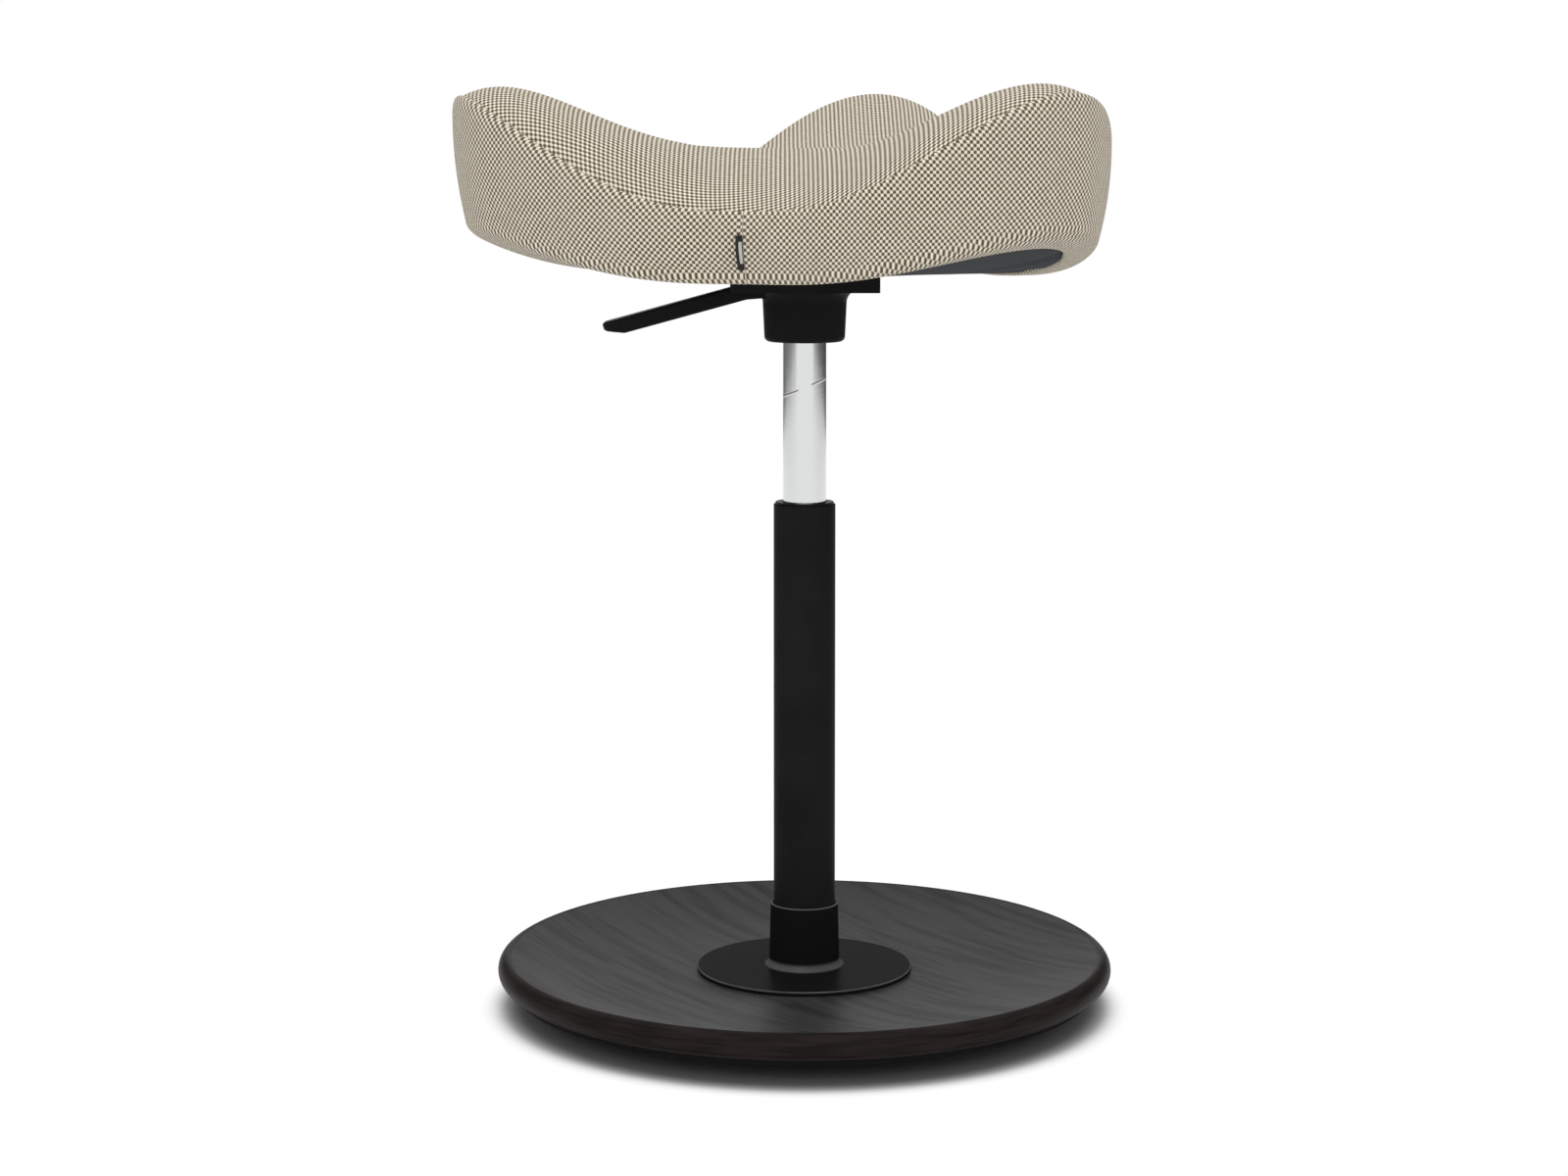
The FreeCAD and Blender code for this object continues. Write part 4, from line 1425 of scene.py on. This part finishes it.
def turned(name: str, profile: np.ndarray, columns: int = 192) -> bpy.types.Object:
    """Spin a closed profile about the column's axis.

    Args:
        name: the piece's name.
        profile: radii and heights.
        columns: steps round the axis.

    Returns:
        The piece.
    """
    angle = np.linspace(0.0, math.tau, columns, endpoint=False)
    radius, height = profile[:, :1], profile[:, 1:]
    flat = np.broadcast_arrays(radius * np.cos(angle), radius * np.sin(angle), height)
    piece = skin_piece(name, Skin(np.stack(flat, -1), wrap=True, loop=True))
    modifier = piece.modifiers.new("even", "WEIGHTED_NORMAL")
    modifier.keep_sharp = True
    return piece


@dataclass(frozen=True)
class ColumnForm:
    """Radii and heights of the turned pieces, in millimetres."""

    disc_top: float = 20.5
    flange_top: float = 23.5
    flange_radius: float = 70.0
    collar_top: float = 65.0
    collar_foot: float = 23.0
    collar_head: float = 22.0
    collar_bore: float = 20.15
    plate_bore: float = 15.0
    tube_radius: float = 20.0
    tube_bore: float = 18.0
    lip: float = 3.0
    bush_bore: float = 14.06
    bush_radius: float = 17.9
    bush_rim: float = 18.9
    cylinder_radius: float = 14.0
    cylinder_bore: float = 12.0
    taper: float = 0.8
    taper_length: float = 22.0
    guide_bore: float = 10.0
    pin_bore: float = 3.3
    cap: float = 2.0


@dataclass
class Column:
    """Flange with its collar, outer tube, guide bush and chromed cylinder, all turned."""

    form: ColumnForm = ColumnForm()

    def flange(self) -> bpy.types.Object:
        """A thin round plate that runs in a fillet up into the collar."""
        f = self.form
        return turned("flange_with_collar", rounded([
            (f.plate_bore, f.disc_top, 0), (f.flange_radius, f.disc_top, 0.4),
            (f.flange_radius, f.flange_top, 0.9), (f.collar_foot, f.flange_top, 4.5),
            (f.collar_head, f.collar_top, 0.9), (f.collar_bore, f.collar_top, 0.3),
            (f.collar_bore, f.flange_top, 0), (f.plate_bore, f.flange_top, 0),
        ], 9))

    def tube(self) -> bpy.types.Object:
        """A plain tube with its mouth's edges rounded and a rolled lip in its foot."""
        f = self.form
        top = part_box("outer_tube")[1].z / MM
        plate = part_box("tube_end_plate")[0].z / MM
        return turned("column_tube", rounded([
            (f.tube_radius, f.flange_top, 0.2), (f.tube_radius, top, 0.45),
            (f.tube_bore, top, 0.3), (f.tube_bore, plate, 0), (f.plate_bore, plate, 0),
            (f.plate_bore, plate - f.lip, 0), (f.tube_bore, plate - f.lip, 0),
            (f.tube_bore, f.flange_top, 0),
        ]))

    def bush(self) -> bpy.types.Object:
        """A sleeve in the tube's mouth with a thin rim that shows above it."""
        f = self.form
        low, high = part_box("guide_bush")
        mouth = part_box("outer_tube")[1].z / MM
        foot, top = low.z / MM, high.z / MM
        return turned("guide_sleeve", rounded([
            (f.bush_bore, foot, 0.3), (f.bush_radius, foot, 0.3), (f.bush_radius, mouth, 0),
            (f.bush_rim, mouth, 0.1), (f.bush_rim, top, 0.5), (f.bush_bore, top, 0.5),
        ]))

    def cylinder(self) -> bpy.types.Object:
        """The chromed cylinder: straight, then slightly tapered inside the hub."""
        f = self.form
        low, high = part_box("gas_cylinder")
        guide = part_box("cylinder_end_guide")[0].z / MM
        foot, top = low.z / MM, high.z / MM
        return turned("lift_cylinder", rounded([
            (f.guide_bore, foot, 0), (f.cylinder_radius, foot, 1.2),
            (f.cylinder_radius, top - f.taper_length, 0),
            (f.cylinder_radius - f.taper, top, 0.6), (f.pin_bore, top, 0),
            (f.pin_bore, top - f.cap, 0), (f.cylinder_bore, top - f.cap, 0),
            (f.cylinder_bore, guide, 0), (f.guide_bore, guide, 0),
        ]))


@dataclass
class Stand:
    """Base, column, bracket and lever: the frame's own nodes with better finishes."""

    nodes: dict[str, bpy.types.Object]
    record: dict

    def finish(self, names: Sequence[str], material: bpy.types.Material) -> None:
        """Give nodes a finish.

        Args:
            names: the nodes.
            material: their finish.
        """
        for name in names:
            node = self.nodes[name]
            if not node.material_slots:
                node.data.materials.append(material)
            for slot in node.material_slots:
                slot.material = material

    def build(self) -> None:
        """Dress every node that stays, by the record's slots, and make the lever."""
        finishes = {
            "stained_wood": Grain("stained_oak", math.radians(-41.5), 191.0 * MM),
            "sole_rubber": Coat("sole_rubber", (0.009, 0.009, 0.009), 0.75, specular=0.05),
            "black_metal": Coat("satin_black_paint", (0.0125, 0.0125, 0.0125), 0.36,
                                specular=0.008, mottle=0.2),
            "black_plastic": Coat("black_plastic", (0.008, 0.008, 0.009), 0.4, specular=0.05),
            "chrome": Chrome(),
            "seal_rubber": Coat("seal_rubber", (0.012, 0.012, 0.012), 0.6, specular=0.35),
            "shell_wood": Felt("shell_ply", (0.36, 0.25, 0.15), (0.28, 0.19, 0.11), 40.0,
                               0.05 * MM, 0.7, (1.0, 9.0, 9.0)),
            "foam": Felt("foam", (0.70, 0.66, 0.55), (0.62, 0.57, 0.46), 900.0),
            "steel": Coat("zinc_steel", (0.52, 0.53, 0.54), 0.34, 1.0),
        }
        made = {slot: finish.material() for slot, finish in finishes.items()}
        for part in self.record["subparts"]:
            if part["node"] in self.nodes and part["material_slot"] in made:
                self.finish([part["node"]], made[part["material_slot"]])
        column = Column()
        collar = CollarPaint("collar_paint", (0.0085, 0.0085, 0.0085), 0.36, specular=0.004)
        dress(column.flange(), collar.material(), Body.BASE, ("socket_flange",))
        dress(column.tube(), made["black_metal"], Body.BASE, ("outer_tube",))
        dress(column.bush(), made["black_plastic"], Body.BASE, ("guide_bush",))
        dress(column.cylinder(), made["chrome"], Body.SEAT, ("gas_cylinder",))
        paddle = Lever().build()
        dress(paddle, made["black_plastic"], Body.LEVER, ("height_lever",))


# Studio


@dataclass(frozen=True)
class View:
    """The photograph's camera: a short way round to the stool's right, a little above it."""

    TURN = 14.9

    aside: float = -13.3 * MM
    away: float = 1974.1 * MM
    height: float = 552.9 * MM
    pitch: float = 5.76
    lens: float = 70.58
    shift: float = -0.08
    sensor: float = 36.0
    clip_end: float = 60.0

    def build(self) -> None:
        """Make the camera."""
        turn, pitch = math.radians(self.TURN), math.radians(self.pitch)
        data = bpy.data.cameras.new("camera")
        data.sensor_width = self.sensor
        data.lens = self.lens
        data.shift_y = self.shift
        data.clip_end = self.clip_end
        camera = bpy.data.objects.new("camera", data)
        camera.location = (
            self.aside * math.cos(turn) + self.away * math.sin(turn),
            self.aside * math.sin(turn) - self.away * math.cos(turn),
            self.height,
        )
        camera.rotation_euler = (math.pi / 2 - pitch, 0.0, turn)
        bpy.context.scene.collection.objects.link(camera)
        bpy.context.scene.camera = camera


@dataclass
class Studio:
    """A white floor and backdrop under wide soft lamps."""

    floor_radius: float = 7.0
    sky: float = 0.78
    floor_shift: float = 5.0 * MM
    white_ring: tuple[float, float] = (0.193, 0.2125)
    # Painted shadow: inside this ring round the disc, the floor's colour is darker grey.
    painted_shadow_ring: tuple[float, float] = (0.182, 0.206)
    painted_shadow_tone: Rgb = (0.24, 0.24, 0.24)
    floor_far: Rgb = (0.93, 0.93, 0.93)
    flag_turns: tuple[float, ...] = (20.0, 60.0, 100.0, 128.0, 138.0)
    flag_feet: tuple[float, ...] = (0.07, 0.12, 0.17, 0.24, 0.33)
    flag_top: float = 2.6
    flag_away: float = 3.2
    flag_steps: int = 40

    @staticmethod
    def seen(graph: Graph) -> Wire:
        """1 for rays that show the backdrop: from the camera, a gloss or a glass.

        Args:
            graph: the graph to add to.

        Returns:
            The share, 0 or 1.
        """
        rays = [
            graph.node("ShaderNodeLightPath", {}, {}, name)
            for name in ("Is Camera Ray", "Is Glossy Ray", "Is Transmission Ray")
        ]
        total = rays[0] + rays[1] + rays[2]
        return graph.node("ShaderNodeClamp", {}, {"Value": total})

    def floor(self) -> None:
        """A round white floor that turns into plain white away from the stool, with a painted
        shadow: its colour is grey under and round the disc.
        """
        graph = Graph("floor_white")
        tree = graph.tree
        x, y, _ = graph.axes(graph.place(math.radians(View.TURN)))
        radius = graph.radius(x, y + self.floor_shift)
        share = radius.ramp(*self.white_ring) * self.seen(graph)
        # Painted shadow: grey under and round the disc, fading to the floor's white by the
        # ring's outer radius. Both rings' centre is offset by floor_shift.
        tone = graph.mix(radius.ramp(*self.painted_shadow_ring), self.painted_shadow_tone, self.floor_far)
        graph.set(Base_Color=tone, Roughness=1.0, Specular_IOR_Level=0.0)
        glow = tree.nodes.new("ShaderNodeEmission")
        glow.inputs["Strength"].default_value = 1.0
        blend = tree.nodes.new("ShaderNodeMixShader")
        output = next(n for n in tree.nodes if n.bl_idname == "ShaderNodeOutputMaterial")
        tree.links.new(share.socket, blend.inputs[0])
        tree.links.new(graph.shader.outputs["BSDF"], blend.inputs[1])
        tree.links.new(glow.outputs["Emission"], blend.inputs[2])
        tree.links.new(blend.outputs["Shader"], output.inputs["Surface"])
        turn = np.linspace(0.0, math.tau, 96, endpoint=False)
        rim = np.stack([np.cos(turn), np.sin(turn), np.zeros_like(turn)], -1)
        points = np.stack([rim * r for r in (0.02, 0.4, 1.2, self.floor_radius)])
        skin = Skin(points[::-1], wrap=True, caps=(False, True))
        floor = skin_piece("studio_floor", skin)
        floor.data.materials.append(graph.material)

    def lamp(self, name: str, place: Rgb, aim: Rgb, size: float, level: float) -> None:
        """Hang one square soft lamp.

        Args:
            name: the lamp's name.
            place: where it hangs.
            aim: what it faces.
            size: its side in metres.
            level: the white that its own face would render.
        """
        data = bpy.data.lights.new(name, "AREA")
        data.shape = "SQUARE"
        data.size = size
        data.energy = level * math.pi * size * size
        lamp = bpy.data.objects.new(name, data)
        lamp.location = place
        lamp.rotation_euler = (Vector(aim) - Vector(place)).to_track_quat("-Z", "Y").to_euler()
        bpy.context.scene.collection.objects.link(lamp)

    def flags(self) -> None:
        """Two curved boards at the left and right, seen only as dark reflections.

        Their lower edges climb from the far side, at turn 0, to the camera's side.
        """
        ahead = math.pi / 2 + math.radians(View.TURN)
        for name, side, tone in (("flag_left", 1.0, 0.20), ("flag_right", -1.0, 0.09)):
            graph = Graph(name + "_cloth")
            graph.set(Base_Color=(tone, tone, tone, 1.0), Roughness=1.0, Specular_IOR_Level=0.0)
            off = np.linspace(self.flag_turns[0], self.flag_turns[-1], self.flag_steps)
            angle = ahead + side * np.radians(off)
            foot = np.interp(off, self.flag_turns, self.flag_feet)
            height = foot + (self.flag_top - foot) * np.linspace(0.0, 1.0, 3)[:, None]
            rim = self.flag_away * np.stack([np.cos(angle), np.sin(angle)], -1)[None]
            flat = np.broadcast_to(rim, (3, self.flag_steps, 2))
            points = np.concatenate([flat, height[..., None]], -1)
            flag = skin_piece(name, Skin(points))
            flag.data.materials.append(graph.material)
            flag.visible_camera = flag.visible_diffuse = flag.visible_shadow = False

    def build(self) -> None:
        """Make the floor, the flags, the lamps and the world."""
        self.floor()
        self.flags()
        self.lamp("overhead_softbox", (0.0, 0.0, 2.3), (0.0, 0.0, 0.0), 3.2, 0.55)
        self.lamp("front_softbox", (0.7, -2.6, 1.5), (0.0, 0.0, 0.35), 1.8, 1.0)
        world = bpy.data.worlds.new("studio_world")
        bpy.context.scene.world = world
        world.use_nodes = True
        tree = world.node_tree
        tree.nodes.clear()
        path = tree.nodes.new("ShaderNodeLightPath")
        first = tree.nodes.new("ShaderNodeMath")
        second = tree.nodes.new("ShaderNodeMath")
        first.operation = second.operation = "MAXIMUM"
        tree.links.new(path.outputs["Is Camera Ray"], first.inputs[0])
        tree.links.new(path.outputs["Is Glossy Ray"], first.inputs[1])
        tree.links.new(first.outputs[0], second.inputs[0])
        tree.links.new(path.outputs["Is Transmission Ray"], second.inputs[1])
        level = tree.nodes.new("ShaderNodeMapRange")
        level.inputs["To Min"].default_value = self.sky
        level.inputs["To Max"].default_value = 1.0
        tree.links.new(second.outputs[0], level.inputs["Value"])
        back = tree.nodes.new("ShaderNodeBackground")
        back.inputs["Color"].default_value = (1.0, 1.0, 1.0, 1.0)
        tree.links.new(level.outputs["Result"], back.inputs["Strength"])
        output = tree.nodes.new("ShaderNodeOutputWorld")
        tree.links.new(back.outputs["Background"], output.inputs["Surface"])
        view = bpy.context.scene.view_settings
        view.view_transform = "Standard"


def main() -> None:
    """Build the scene around the frame."""
    logging.basicConfig(level=logging.INFO, format="%(message)s")
    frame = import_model()
    View().build()
    Seat(LobedForm(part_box("underside_lining")[0].z)).build()
    Stand(frame["nodes"], frame["record"]).build()
    Studio().build()


if __name__ == "__main__":
    main()
